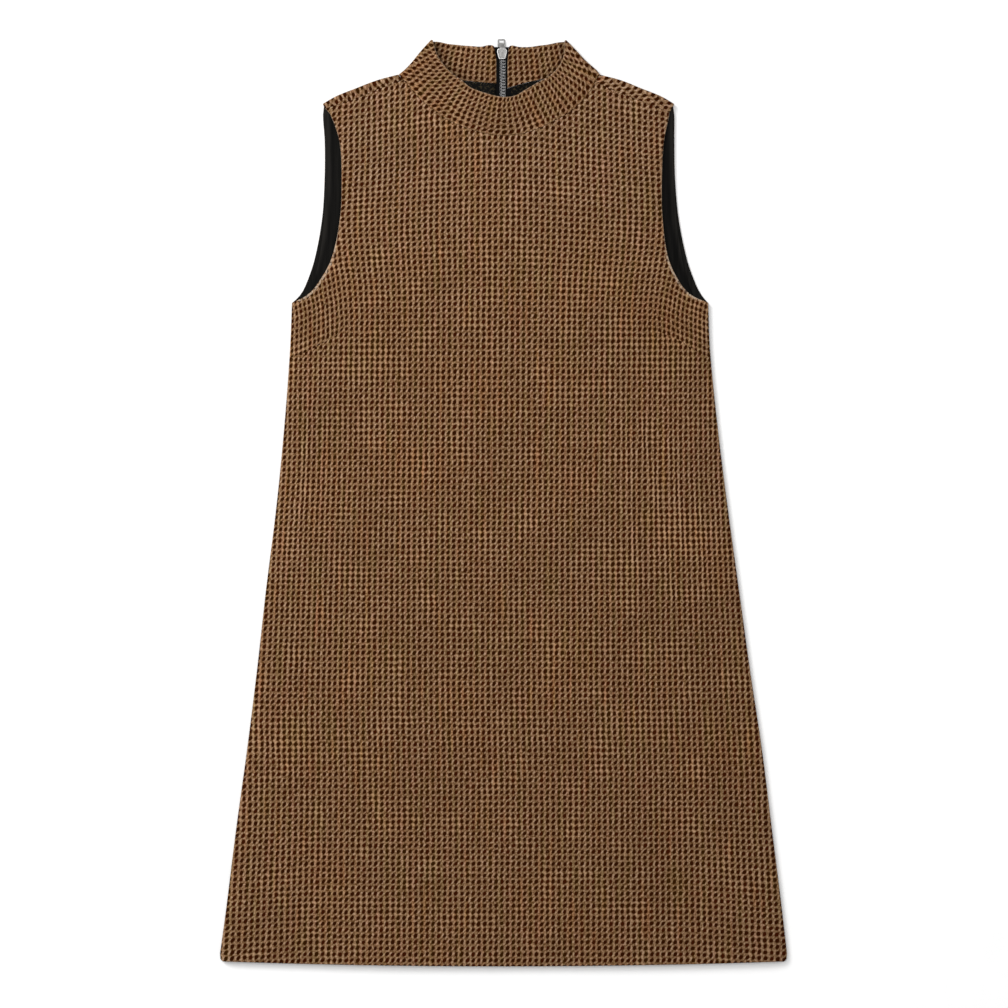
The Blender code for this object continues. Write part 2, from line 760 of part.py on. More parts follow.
bridge = plate(
    "slider_bridge",
    [(-4.0, arch_top), (-4.0, 1.3), (-3.0, 0.2), (3.0, 0.2), (4.0, 1.3), (4.0, arch_top),
     (3.2, arch_top), (3.2, 1.6), (2.6, 1.0), (-2.6, 1.0), (-3.2, 1.6), (-3.2, arch_top)],
    2.2, (ZIP_X, (y0 + y1) / 2 + 0.3, 0), (math.pi / 2, 0, math.pi / 2), steel, cutters,
)
for other in (inner, wedge, bridge):
    other.hide_render = True
    other.display_type = "WIRE"
    union = slider.modifiers.new(other.name, "BOOLEAN")
    union.operation = "UNION"
    union.object = other

# pull tab: its lower bar turns in the bridge; it lies flipped up past the collar's top
half = PULL_WIDE / 2
tab_outline = rounded(
    [(-2.6, -0.5), (2.6, -0.5), (2.9, 1.6), (3.1, 5.6), (half, 8.0), (half, PULL_LONG),
     (-half, PULL_LONG), (-half, 8.0), (-3.1, 5.6), (-2.9, 1.6)],
    1.3,
)
window = rounded([(-1.7, 0.5), (-1.7, 6.2), (1.7, 6.2), (1.7, 0.5)], 0.4, 2)
hole = rounded([(-2.25, 11.2), (-2.25, 13.7), (2.25, 13.7), (2.25, 11.2)], 0.8)
tilt = math.asin((PULL_Z - PULL_T / 2) / PULL_LONG)
plate("zip_pull", tab_outline, PULL_T, (ZIP_X, PULL_Y, PULL_Z), (-tilt, 0, 0),
      material("pull_metal", (0.6, 0.6, 0.6), 0.25, 1.0), garment, holes=(window, hole))
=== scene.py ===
import math
from functools import lru_cache

import bmesh
import bpy
import numpy as np
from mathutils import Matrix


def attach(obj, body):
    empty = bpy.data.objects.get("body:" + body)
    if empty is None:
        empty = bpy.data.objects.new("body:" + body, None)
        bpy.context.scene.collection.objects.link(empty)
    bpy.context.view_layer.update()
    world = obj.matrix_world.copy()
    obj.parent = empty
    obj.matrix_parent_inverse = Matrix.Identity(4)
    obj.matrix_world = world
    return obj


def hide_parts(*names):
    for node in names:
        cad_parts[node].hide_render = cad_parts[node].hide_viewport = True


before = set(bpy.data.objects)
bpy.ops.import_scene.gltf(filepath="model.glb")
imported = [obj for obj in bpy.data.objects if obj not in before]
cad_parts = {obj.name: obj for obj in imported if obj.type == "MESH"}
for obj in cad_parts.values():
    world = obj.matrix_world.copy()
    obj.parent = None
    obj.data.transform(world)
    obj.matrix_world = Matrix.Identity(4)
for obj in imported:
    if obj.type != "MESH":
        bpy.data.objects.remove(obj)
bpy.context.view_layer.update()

# The looks of a sleeveless a-line dress laid flat, front side up: every piece of cloth is
# a thin shell on the form its solid has, finer, with rolled edges, seams and soft creases
# placed one by one. Lengths are in millimetres until a mesh is made. Left is -X.
MM = 0.001

# ---- sizes, as in the CAD source ----
CLOTH, COLLAR, LINING, TAPE, GAP = 1.8, 2.6, 0.8, 0.8, 0.3
ZIP_X = -1.0
CHAIN_W = 5.5
TAPE_HALF, TAPE_HALF_COLLAR = 14.0, 5.4
LIFT_BODY, LIFT_COLLAR, LIFT_HALF_WIDTH, LIFT_LENGTH = 2.4, 3.6, 80.0, 110.0
NECK_Y = 417.5
PAIR = CLOTH + GAP
FRONT_EDGE, FRONT_MID, FRONT_RISE, COLLAR_FRONT, BUST_RISE = 3.4, 4.8, 3.0, 4.3, 0.8
LINING_HEM = 150.0
SEAM = GAP + 0.15
SHOULDER_SEAM, COLLAR_SEAM, BACK_SEAM = 0.10, 0.13, 0.20
SIDE = [
    (-452.0, -283.5, 283.5), (-407.5, -277.5, 278.5), (-327.5, -267.5, 268.5),
    (-247.5, -256.5, 258.5), (-167.5, -246.5, 246.5), (-87.5, -237.5, 235.5),
    (-7.5, -227.5, 224.5), (72.5, -219.5, 214.5), (152.5, -213.5, 206.5), (199.8, -211.5, 204.7),
]
ARMHOLE = [
    (199.8, -211.0, -211.5, 204.2, 204.7), (207.0, -197.0, -204.0, 188.6, 198.6),
    (217.5, -186.8, -198.0, 178.0, 192.8), (243.8, -172.2, -189.0, 165.2, 183.5),
    (285.0, -163.5, -181.5, 159.1, 175.2), (325.0, -161.9, -179.1, 158.5, 171.7),
    (361.0, -164.1, -179.0, 160.5, 171.0), (387.5, -172.9, -180.7, 165.8, 171.0),
]
SHOULDER_L = [
    (-105.3, 428.1, 8.2), (-126.5, 422.5, 9.0), (-147.5, 414.5, 9.8),
    (-167.5, 406.5, 9.2), (-181.0, 398.8, 5.5),
]
SHOULDER_R = [
    (96.8, 427.8, 9.0), (117.5, 422.5, 12.4), (137.5, 414.5, 12.2),
    (157.5, 406.5, 12.0), (171.0, 398.8, 10.0),
]
COLLAR_BACK_L = [
    (-7.1, 419.3, -7.1, 454.6), (-17.5, 419.9, -18.5, 455.5),
    (-38.5, 422.0, -33.5, 455.6), (-70.0, 424.0, -53.5, 458.2),
]
FOLD_L = (-105.0, 428.0, -74.3, 460.7)
COLLAR_FRONT_ROWS = [
    (-96.5, 418.5, -66.5, 447.5), (-83.5, 403.5, -55.0, 432.5), (-69.5, 392.5, -42.0, 422.5),
    (-57.5, 383.5, -32.0, 414.5), (-36.5, 374.5, -16.5, 409.0), (-10.5, 367.6, -2.0, 405.6),
    (15.0, 368.3, 11.0, 406.6), (34.0, 373.6, 22.0, 412.8), (49.0, 381.0, 35.5, 420.8),
    (64.5, 389.3, 46.5, 427.0), (78.5, 401.5, 55.0, 436.0), (87.8, 413.5, 61.0, 448.0),
]
FOLD_R = (96.5, 427.8, 65.0, 460.7)
COLLAR_BACK_R = [
    (70.0, 425.0, 51.5, 458.2), (45.0, 424.3, 36.5, 456.4), (25.5, 420.8, 16.5, 455.4),
    (12.0, 416.8, 8.5, 456.0), (4.9, 414.8, 4.9, 454.6),
]
HEM_SIDE, HEM_DROP, HEM_CORNER = -459.0, 4.9, 3.0
SPINE_L, SPINE_R = -7.1, 4.9
FRONT_SHOULDER, FRONT_NECK = 5, 18
FRONT_COLS = 2 * FRONT_SHOULDER + FRONT_NECK
BACK_NECK, BACK_SHOULDER = 7, 5
BACK_COLS = BACK_NECK + BACK_SHOULDER
C_BACK, C_FOLD, C_FRONT = BACK_NECK, 4, FRONT_NECK
C_ALL = 2 * C_BACK + 2 * C_FOLD + C_FRONT
ARMPIT = 199.8
LOW = -460.0  # rows below run along the hem


# ---- curves and sections, as in the CAD source but read between its columns too ----
def line(points, t):
    run = [0.0]
    for a, b in zip(points, points[1:]):
        run.append(run[-1] + math.dist(a[:2], b[:2]))
    s = min(max(t, 0.0), 1.0) * run[-1]
    k = 0
    while k < len(points) - 2 and s > run[k + 1]:
        k += 1
    h = run[k + 1] - run[k]
    w = (s - run[k]) / h

    def slope(i):
        if i == 0 or i == len(points) - 1:
            a, b = (0, 1) if i == 0 else (i - 1, i)
        else:
            a, b = i - 1, i + 1
        return [(q - p) / (run[b] - run[a]) for p, q in zip(points[a], points[b])]

    ma, mb = slope(k), slope(k + 1)
    h00, h10 = 2 * w**3 - 3 * w**2 + 1, w**3 - 2 * w**2 + w
    h01, h11 = -2 * w**3 + 3 * w**2, w**3 - w**2
    return [
        h00 * p + h10 * h * a + h01 * q + h11 * h * b
        for p, q, a, b in zip(points[k], points[k + 1], ma, mb)
    ]


def table(rows, at, column):
    """A table's column at a place between its rows, on a smooth curve through them."""
    if at <= rows[0][0]:
        return rows[0][column]
    for k in range(len(rows) - 1):
        if at <= rows[k + 1][0]:
            a, b = rows[k], rows[k + 1]
            h = b[0] - a[0]
            w = (at - a[0]) / h
            prev, after = rows[max(k - 1, 0)], rows[min(k + 2, len(rows) - 1)]
            ma = (b[column] - prev[column]) / (b[0] - prev[0])
            mb = (after[column] - a[column]) / (after[0] - a[0])
            return (
                (2 * w**3 - 3 * w**2 + 1) * a[column] + (w**3 - 2 * w**2 + w) * h * ma
                + (-2 * w**3 + 3 * w**2) * b[column] + (w**3 - w**2) * h * mb
            )
    return rows[-1][column]


def smooth(t):
    t = min(max(t, 0.0), 1.0)
    return t * t * (3 - 2 * t)


def across(x):
    return math.cos(math.pi / 2 * min(1.0, abs(x - ZIP_X) / LIFT_HALF_WIDTH)) ** 2


def bump(x, y):
    return across(x) * smooth(1 - (NECK_Y - y) / LIFT_LENGTH)


def back_low(x, y):
    return LIFT_BODY * bump(x, y)


def collar_low(x, y):
    return across(x) * (LIFT_COLLAR + 0.35 * (y - NECK_Y) / 37.0)


def front_low(x, y, inset, rise):
    edge = PAIR + (FRONT_EDGE - PAIR) * smooth(rise * 10.0)
    mid = FRONT_MID + FRONT_RISE * bump(x, y)
    for bx in (-130.0, 125.0):
        mid += BUST_RISE * math.exp(-((x - bx) ** 2 + (y - 188.0) ** 2) / (2 * 42.0**2))
    return edge + (mid - edge) * (1 - math.exp(-max(inset, 0.0) / 5.0))


def hem_y(x):
    w = min(1.0, abs(x) / 283.5)
    return HEM_SIDE - HEM_DROP * (1 - w * w)


def unit(x, y):
    n = math.hypot(x, y)
    return x / n, y / n


def patch(bottom, top, left, right, u, v):
    b, t, l, r = bottom(u), top(u), left(v), right(v)
    c00, c10, c01, c11 = bottom(0.0), bottom(1.0), top(0.0), top(1.0)
    return [
        (1 - v) * b[k] + v * t[k] + (1 - u) * l[k] + u * r[k]
        - (1 - u) * (1 - v) * c00[k] - u * (1 - v) * c10[k]
        - (1 - u) * v * c01[k] - u * v * c11[k]
        for k in (0, 1)
    ]


def seam_dip(u, y):
    return 42.0 * smooth((y + 60.0) / 260.0) * (1 - (2 * u - 1) ** 2)


SHOULDERS = {-1: SHOULDER_L, 1: SHOULDER_R}
FOLDS = {-1: FOLD_L, 1: FOLD_R}


@lru_cache(None)
def shoulder(side, t):
    rows = SHOULDERS[side]
    x, y, wide = line(rows, t)
    ax, ay, _ = line(rows, max(0.0, t - 0.02))
    bx, by, _ = line(rows, min(1.0, t + 0.02))
    fold = FOLDS[side]
    nx, ny = unit((by - ay) * side, -(bx - ax) * side)
    cx, cy = unit(-(fold[3] - fold[1]) * side, (fold[2] - fold[0]) * side)
    w = smooth(1 - t / 0.3)
    nx, ny = unit(nx * (1 - w) + cx * w, ny * (1 - w) + cy * w)
    return x, y, wide, nx, ny


@lru_cache(None)
def shoulder_level(side, t):
    rows = SHOULDERS[side]
    x, y = shoulder(side, t)[:2]
    length = sum(math.dist(a[:2], b[:2]) for a, b in zip(rows, rows[1:]))
    return front_low(x, y, (1 - t) * length, 1.0)


@lru_cache(None)
def collar_point(i, v):
    """The collar's wall at column i (0 to C_ALL) and height v: x, y, z of its middle."""
    side = 1 if i > C_ALL / 2 else -1
    bx, by, nx, ny, low, high = fold_base(side, v)
    k = i if side < 0 else C_ALL - i

    def mix(rows):
        return [(r[0] + (r[2] - r[0]) * v, r[1] + (r[3] - r[1]) * v) for r in rows]

    if k <= C_BACK:
        rows = COLLAR_BACK_L if side < 0 else COLLAR_BACK_R[::-1]
        x, y = line(mix(rows) + [(bx, by)], k / C_BACK)
        return x, y, collar_low(x, y) * (1 - k / C_BACK) + (low - COLLAR / 2) * k / C_BACK + COLLAR / 2
    if k < C_BACK + C_FOLD:
        angle = -math.pi / 2 + math.pi * (k - C_BACK) / C_FOLD
        radius = (high - low) / 2
        out = radius * math.cos(angle)
        return bx - nx * out, by - ny * out, (low + high) / 2 + radius * math.sin(angle)
    lx, ly = fold_base(-1, v)[:2]
    rx, ry = fold_base(1, v)[:2]
    t = (i - C_BACK - C_FOLD) / C_FRONT
    x, y = line([(lx, ly)] + mix(COLLAR_FRONT_ROWS) + [(rx, ry)], t)
    return x, y, COLLAR_FRONT + FRONT_RISE * bump(x, y) + COLLAR / 2


@lru_cache(None)
def fold_base(side, v):
    fold = FOLDS[side]
    x = fold[0] + (fold[2] - fold[0]) * v
    y = fold[1] + (fold[3] - fold[1]) * v
    nx, ny = unit(-(fold[3] - fold[1]) * side, (fold[2] - fold[0]) * side)
    low, high = collar_low(x, y), COLLAR_FRONT + FRONT_RISE * bump(x, y)
    inset = COLLAR / 2 + (high - low) / 2
    return x + nx * inset, y + ny * inset, nx, ny, low + COLLAR / 2, high + COLLAR / 2


@lru_cache(None)
def collar_seam(i):
    """The collar's lower edge at its column i, moved SEAM off it."""
    first, last = C_BACK + C_FOLD, C_BACK + C_FOLD + C_FRONT
    front = first <= i <= last
    low, high = (first, last) if front else (0.0, float(C_ALL))
    x, y, _ = collar_point(i, 0.0)
    ax, ay, _ = collar_point(max(i - 0.5, low), 0.0)
    bx, by, _ = collar_point(min(i + 0.5, high), 0.0)
    nx, ny = unit(by - ay, -(bx - ax))
    if not front:
        nx, ny = -nx, -ny
    gap = COLLAR_SEAM if front else SEAM
    return x + nx * gap, y + ny * gap


@lru_cache(None)
def strip_start(side):
    i = C_BACK + C_FOLD + (0 if side < 0 else C_FRONT)
    ax, ay = collar_seam(float(i))
    bx, by = collar_seam(float(i - side))
    nx, ny = unit(bx - ax, by - ay)
    return ax, ay, nx, ny


@lru_cache(None)
def front_corner(side, t):
    x, y, wide, nx, ny = shoulder(side, t)
    bx, by, sx, sy = strip_start(side)
    reach = wide + SHOULDER_SEAM - math.dist((x, y), (bx, by))
    start = (bx + sx * reach, by + sy * reach)
    if t <= 0.0:
        return start
    reach = wide + SHOULDER_SEAM
    px, py = x + nx * reach, y + ny * reach
    ox, oy, owide, onx, ony = shoulder(side, 0.0)
    w = smooth(1 - t / 0.12)  # ease from the collar's corner
    reach = owide + SHOULDER_SEAM
    return (px + (start[0] - ox - onx * reach) * w, py + (start[1] - oy - ony * reach) * w)


@lru_cache(None)
def front_top(u):
    a, b = FRONT_SHOULDER / FRONT_COLS, 1 - FRONT_SHOULDER / FRONT_COLS
    if u <= a:
        return front_corner(-1, 1 - u / a)
    if u >= b:
        return front_corner(1, (u - b) / (1 - b))
    t = (u - a) / (b - a) * FRONT_NECK
    x, y = collar_seam(C_BACK + C_FOLD + t)
    for side, far in ((-1, t), (1, FRONT_NECK - t)):  # ease from the strips' corners
        w = max(0.0, 1 - far)
        ex, ey = collar_seam(C_BACK + C_FOLD + (0.0 if side < 0 else float(FRONT_NECK)))
        cx, cy = front_corner(side, 0.0)
        x, y = x + (cx - ex) * w, y + (cy - ey) * w
    return x, y


@lru_cache(None)
def front_arm(side, t):
    column = 1 if side < 0 else 3
    points = [(r[column], r[0]) for r in ARMHOLE] + [front_corner(side, 1.0)]
    return tuple(line(points, t))


@lru_cache(None)
def side_x(y, side):
    return table(SIDE, y, 1 if side < 0 else 2)


def body_row(u, y, left, right):
    return left + (right - left) * u, y - seam_dip(u, y)


@lru_cache(None)
def front_bottom(u):
    return body_row(u, ARMPIT, ARMHOLE[0][1], ARMHOLE[0][3])


DART_L = [(-212.5, 145.5), (-200.5, 149.0), (-185.5, 156.5), (-166.5, 167.5), (-155.5, 177.5)]
DART_R = [(205.1, 145.5), (195.5, 149.5), (177.5, 161.5), (166.9, 165.9), (151.5, 172.5)]
DART_SIDE = 145.5  # where the darts start on the side seams
DART_V = (DART_SIDE - LOW) / (ARMPIT - LOW)
DART_U = 57.0 / 420.0


@lru_cache(None)
def dart_lift(u):
    """How far the row that starts at the darts is lifted to follow them, mm."""
    path = DART_L if u < 0.5 else DART_R
    left, right = side_x(DART_SIDE, -1), side_x(DART_SIDE, 1)
    x = left + (right - left) * u
    base = DART_SIDE - seam_dip(u, DART_SIDE)
    tip = path[-1]
    if abs(x) >= abs(tip[0]):
        for a, b in zip(path, path[1:]):
            if abs(x) >= abs(b[0]) - 1e-9:
                w = min(1.0, max(0.0, (abs(x) - abs(a[0])) / (abs(b[0]) - abs(a[0]))))
                return (a[1] + (b[1] - a[1]) * w - base) * smooth(min(u, 1 - u) / 0.012)
    past = (abs(tip[0]) - abs(x)) / 100.0
    return (tip[1] + 16.0 * past - base) * smooth(1 - past)


def front_place(u, v):
    x, y, z, inset, rise = front_base(u, v)
    level = LOW + (ARMPIT - LOW) * v if v <= 1.0 else ARMPIT + (v - 1.0) * 170.0
    reach = 54.3 + 76.0 * min(1.0, min(u, 1 - u) / DART_U) if level > DART_SIDE else 130.0
    near = abs(level - DART_SIDE) / reach
    if near < 1.0:
        y += dart_lift(u) * smooth(1 - near)
        z = front_low(x, y, inset, rise) + CLOTH / 2
    return x, y, z


def front_base(u, v):
    """v from 0 at the hem to 1 at the armpits, then to 2 at the neck."""
    if v <= 1.0:
        y = LOW + (ARMPIT - LOW) * v
        left, right = side_x(y, -1), side_x(y, 1)
        x, yy = body_row(u, y, left, right)
        low = smooth(1 - (y - LOW) / 60.0)  # the lowest rows follow the hem
        yy += (hem_y(x) - LOW) * low
        if y - LOW < 4.0:
            c = HEM_CORNER * (1 - (y - LOW) / 4.0) ** 2
            x += c * (1 - 2 * u)
        inset, rise = min(u, 1 - u) * (right - left), 0.0
        y = yy
    else:
        v -= 1.0
        x, y = patch(front_bottom, front_top, lambda s: front_arm(-1, s), lambda s: front_arm(1, s), u, v)
        inset, rise = min(u, 1 - u) * 345.0, v
    return x, y, front_low(x, y, inset, rise) + CLOTH / 2, inset, rise


# back panels
@lru_cache(None)
def back_neck(side, t, away):
    points = []
    for k in range(C_BACK):
        x, y, _ = collar_point(float(k if side < 0 else C_ALL - k), 0.0)
        points.append((x, y - away))
    points.append(wrap_base(side, 0.0))
    k = min(int(t * C_BACK + 1e-6), C_BACK - 1)
    w = t * C_BACK - k
    return tuple(p * (1 - w) + q * w for p, q in zip(points[k], points[k + 1]))


@lru_cache(None)
def wrap_base(side, t):
    x, y, wide, nx, ny = shoulder(side, t)
    inset = CLOTH / 2 + shoulder_level(side, t) / 2
    fold = FOLDS[side]
    dx, dy = unit(fold[2] - fold[0], fold[3] - fold[1])
    w = max(0.0, 1 - t / 0.05) * BACK_SEAM
    return x + nx * inset - dx * w, y + ny * inset - dy * w


@lru_cache(None)
def back_arm(side, t):
    column = 2 if side < 0 else 4
    points = [(r[column], r[0]) for r in ARMHOLE] + [wrap_base(side, 1.0)]
    return tuple(line(points, t))


@lru_cache(None)
def spine(side, y):
    open_x = SPINE_L if side < 0 else SPINE_R
    w = smooth((-46.0 - y) / 6.0)
    return open_x * (1 - w) + (ZIP_X + side * GAP / 2) * w


@lru_cache(None)
def back_high(side, s):
    a = BACK_NECK / BACK_COLS
    if s <= a:
        return back_neck(side, s / a, BACK_SEAM)
    return wrap_base(side, (s - a) / (1 - a))


def back_place(side, u, v):
    """v from 0 at the hem to 1 at the armpit, 2 at the neck, 3 round the shoulder's fold
    and 4 at the strip's edge; also the cloth's own flat place."""
    a = BACK_NECK / BACK_COLS
    half = u / 2 + 0.5
    if v <= 1.0:
        y = LOW + (ARMPIT - LOW) * v
        edge, mid = side_x(y, side), spine(side, y)
        if y - LOW < 4.0:
            edge -= side * HEM_CORNER * (1 - (y - LOW) / 4.0) ** 2
        x = mid + (edge - mid) * u
        low = smooth(1 - (y - LOW) / 60.0)
        y = y - seam_dip(half, y) + (hem_y(x) + 1.2 - LOW) * low
        return x, y, back_low(x, y) + CLOTH / 2, x, y
    if v <= 2.0:
        v -= 1.0
        edge, mid = ARMHOLE[0][2 if side < 0 else 4], spine(side, ARMPIT)
        neck = back_neck(side, 0.0, BACK_SEAM)
        y0 = ARMPIT - seam_dip(0.5, ARMPIT)
        x, y = patch(
            lambda s: (mid + (edge - mid) * s, ARMPIT - seam_dip(s / 2 + 0.5, ARMPIT)),
            lambda s: back_high(side, s),
            lambda s: (mid, y0 + (neck[1] - y0) * s),
            lambda s: back_arm(side, s),
            u, v,
        )
        return x, y, back_low(x, y) + CLOTH / 2, x, y
    t = max(0.0, (u - a) / (1 - a))
    x, y, wide, nx, ny = shoulder(side, t)
    level = shoulder_level(side, t)
    radius = level / 2
    bx, by = wrap_base(side, t)
    middle = CLOTH / 2 + radius
    (ax, ay), (cx, cy) = wrap_base(side, 0.0), wrap_base(side, 1.0)
    mx, my = unit((cy - ay) * side, -(cx - ax) * side)  # across the shoulder as a whole
    if mx * nx + my * ny < 0:
        mx, my = -mx, -my
    if v <= 3.0:
        angle = -math.pi / 2 + math.pi * (v - 2.0)
        out = radius * math.cos(angle)
        run = (2 * ((bx - ax) * mx + (by - ay) * my) + radius * math.pi) * (v - 2.0)
        return bx - nx * out, by - ny * out, middle + radius * math.sin(angle), bx - mx * run, by - my * run
    w = v - 3.0
    run = radius * math.pi
    strip = wide - CLOTH / 2 - radius
    start = max(0.0, 1 - t / 0.12)
    ex, ey = bx, by
    if start > 0.0:
        sx, sy, snx, sny = strip_start(side)
        ox, oy = shoulder(side, 0.0)[:2]
        short = wide - math.dist((ox, oy), (sx, sy))
        qx, qy = wrap_base(side, 0.0)
        px, py = qx * (1 - w) + sx * w + snx * short * w, qy * (1 - w) + sy * w + sny * short * w
        on = shoulder(side, 0.0)[3:5]
        full = shoulder(side, 0.0)[2] - CLOTH / 2 - shoulder_level(side, 0.0) / 2
        dx, dy = px - (qx + on[0] * full * w), py - (qy + on[1] * full * w)
        g = smooth(start)
        ex, ey = bx + dx * g, by + dy * g
    px, py = ex + nx * strip * w, ey + ny * strip * w
    out = 2 * ((px - ax) * mx + (py - ay) * my) + run
    fx, fy = px - mx * out, py - my * out
    return px, py, level + CLOTH / 2, fx, fy


# back lining
LINING_EDGE = 7.0


def lining_mid(x, y):
    over_tape = 1.3 * smooth((19.0 - abs(x - ZIP_X)) / 3.6)
    return back_low(x, y) + PAIR + LINING / 2 + over_tape


@lru_cache(None)
def lining_high(side, s):
    start = ZIP_X + side * LINING_EDGE
    if s <= 0.5:
        x, y = back_neck(side, s * 2, 0.4)
        w = s * 2
        return (max(abs(x), 7.9) * side * (1 - w) + x * w if side > 0 else min(x, start)), y - 1.0 * w
    x, y = wrap_base(side, (s - 0.5) * 2)
    return x + side * -1.0 * (s - 0.5) * 2, y - 1.0


def lining_place(side, u, v):
    """v from 0 at the lining's lower edge to 1 at the armpit and 2 at the neck."""
    start = ZIP_X + side * LINING_EDGE
    if v <= 1.0:
        y = LINING_HEM + (ARMPIT - LINING_HEM) * v
        edge = side_x(y, side) - side * (8.0 + 2.0 * v)
        x = start + (edge - start) * u
        y -= seam_dip(u / 2 + 0.5, y)
        return x, y, lining_mid(x, y)
    v -= 1.0
    edge = ARMHOLE[0][2 if side < 0 else 4] - side * 10.0
    reach = 9.6 * (1 - v) ** 3 + 0.4

    def low(s):
        return start + (edge - start) * s, ARMPIT - seam_dip(s / 2 + 0.5, ARMPIT)

    def arm(s):
        x, y = back_arm(side, s)
        return x - side * (9.6 * (1 - s) ** 3 + 0.4), y - (0.0 if s < 1 else 1.0)

    p0, p1 = low(0.0), (start, lining_high(side, 0.0)[1])
    c01 = lining_high(side, 0.0)
    x, y = patch(
        low, lambda s: lining_high(side, s),
        lambda s: (p0[0] + (c01[0] - p0[0]) * s, p0[1] + (p1[1] - p0[1]) * s), arm, u, v,
    )
    return x, y, lining_mid(x, y)


# zip
def zip_mid(y):
    body = PAIR + TAPE / 2 + LIFT_BODY * smooth(1 - (NECK_Y - y) / LIFT_LENGTH)
    top = LIFT_COLLAR + COLLAR / 2 + 0.35 * (y - NECK_Y) / 37.0
    w = smooth((y - 400.0) / 20.0)
    return body * (1 - w) + top * w


# ---- how the cloth's grain lies on the front, and its creases ----
# stations up the front: y, drift of the columns at the middle, tilt of the columns (per mm
# across), their crowding at 180 mm to either side, drift of the rows at the middle, and
# how far the rows have sunk at 150 mm to either side
GRAIN = [
    (-460.0, -0.9, 0.0, -2.0, 10.0, 0.0),
    (-400.0, -0.9, 0.0, -1.4, 9.8, 0.0),
    (-320.0, -0.9, 0.0, -0.2, 8.6, 0.0),
    (-270.0, -0.6, 0.0, 0.2, 7.5, 0.0),
    (-200.0, 1.1, 0.0, 1.0, 6.9, 0.0),
    (-140.0, 1.3, 0.0, 2.4, 7.4, 0.0),
    (-100.0, 1.4, 0.0, 3.4, 6.9, 0.0),
    (-60.0, 1.4, 0.0, 4.4, 4.6, 0.0),
    (-20.0, 1.3, 0.0, 5.7, 3.1, 0.0),
    (40.0, 0.8, 0.0, 7.7, 2.3, 0.0),
    (100.0, 0.6, 0.0, 8.4, 2.4, 0.0),
    (160.0, 0.2, 0.0, 9.0, 3.3, 0.6),
    (190.0, 0.1, 0.0, 9.0, 3.8, 1.5),
    (220.0, -0.2, 0.0, 3.9, 4.5, 3.5),
    (250.0, -0.3, -0.0145, 0.7, 5.0, 5.7),
    (280.0, -0.4, -0.0245, 0.0, 5.2, 7.7),
    (310.0, -0.5, -0.020, 0.0, 4.8, 9.7),
    (340.0, -0.5, -0.011, 0.0, 4.8, 11.8),
    (372.0, -0.2, -0.008, 0.0, 6.0, 16.2),
    (410.0, -0.2, -0.006, 0.0, 6.5, 18.5),
]
PITCH_U, PITCH_V = 5.72, 6.08
DOT_X, DOT_Y = -3.3, 63.55  # the middle of one dot on the front


# above each dart the columns are closer and the rows climb outwards: where this starts from
# the middle at the dart's tip and below the armhole, mm, over how many mm it sets in, and
# the rows' slope at first and further out
DART_ZONES = {-1: (156.0, 159.0, 7.0, 0.42, 0.42), 1: (146.0, 155.0, 12.0, 0.27, 0.38)}
DART_CROWD = 0.13


def dart_shear(x, y):
    """How far the grain above a dart has moved, across and up, mm."""
    side = -1 if x < 0 else 1
    low, high, soft, first, last = DART_ZONES[side]
    e = abs(x) - low - (high - low) * smooth((y - 185.0) / 60.0)
    if e <= 0.0:
        return 0.0, 0.0
    run = e * e / (2 * soft) if e < soft else e - soft / 2
    run *= smooth((282.0 - y) / 50.0)
    return side * DART_CROWD * run, (first + (last - first) * smooth((e - 12.0) / 22.0)) * run


def front_grain(x, y, above=False):
    """The cloth's own flat place at x, y on the front, mm."""
    for a, b, wide, high, full in FRONT_FOLDS:  # a fold takes up a little more cloth
        if full and min(a[0], b[0]) - 3 * wide < x < max(a[0], b[0]) + 3 * wide and (
            min(a[1], b[1]) - 3 * wide < y < max(a[1], b[1]) + 3 * wide
        ):
            t, d, turn = segment(x, y, a, b)
            fade = smooth(min(t + 0.25, 1.25 - t) / 0.5)
            nx, ny = unit(b[1] - a[1], -(b[0] - a[0]))
            push = full * fade * (d / wide) * math.exp(-((d / wide) ** 2)) * (1 if turn > 0 else -1)
            x, y = x + nx * push, y + ny * push
    more_u, more_v = dart_shear(x, y) if above else (0.0, 0.0)
    x0 = x + 3.5
    mid, tilt, crowd, drift, sunk = (table(GRAIN, y, k) for k in range(1, 6))
    s = abs(x0) / 150.0
    far = s * s * (1.9 - 0.9 * s) if s < 1.2 else 1.18 + 0.75 * (s - 1.2)
    u = x + mid + tilt * x0 + crowd * max(-1.9, min(1.9, x0 / 180.0)) ** 3
    side_fall = smooth((-250.0 - y) / 150.0) * max(0.0, abs(x0) - 190.0) * 0.055
    v = y - drift + sunk * far - side_fall * -1.0
    return u - DOT_X - 0.7 + more_u, v - DOT_Y + 2.3 + more_v


def dart_turn(x, y):
    """How far into the zone above a dart a place is, 0 to 1."""
    low, high = DART_ZONES[-1 if x < 0 else 1][:2]
    e = abs(x) - low - (high - low) * smooth((y - 185.0) / 60.0)
    return smooth(e / 14.0) * smooth((275.0 - y) / 45.0)


def segment(x, y, a, b):
    """Share along a-b and distance from it, and which side of it."""
    dx, dy = b[0] - a[0], b[1] - a[1]
    n = dx * dx + dy * dy
    t = ((x - a[0]) * dx + (y - a[1]) * dy) / n
    c = min(max(t, 0.0), 1.0)
    return t, math.hypot(x - a[0] - dx * c, y - a[1] - dy * c), (x - a[0]) * dy - (y - a[1]) * dx
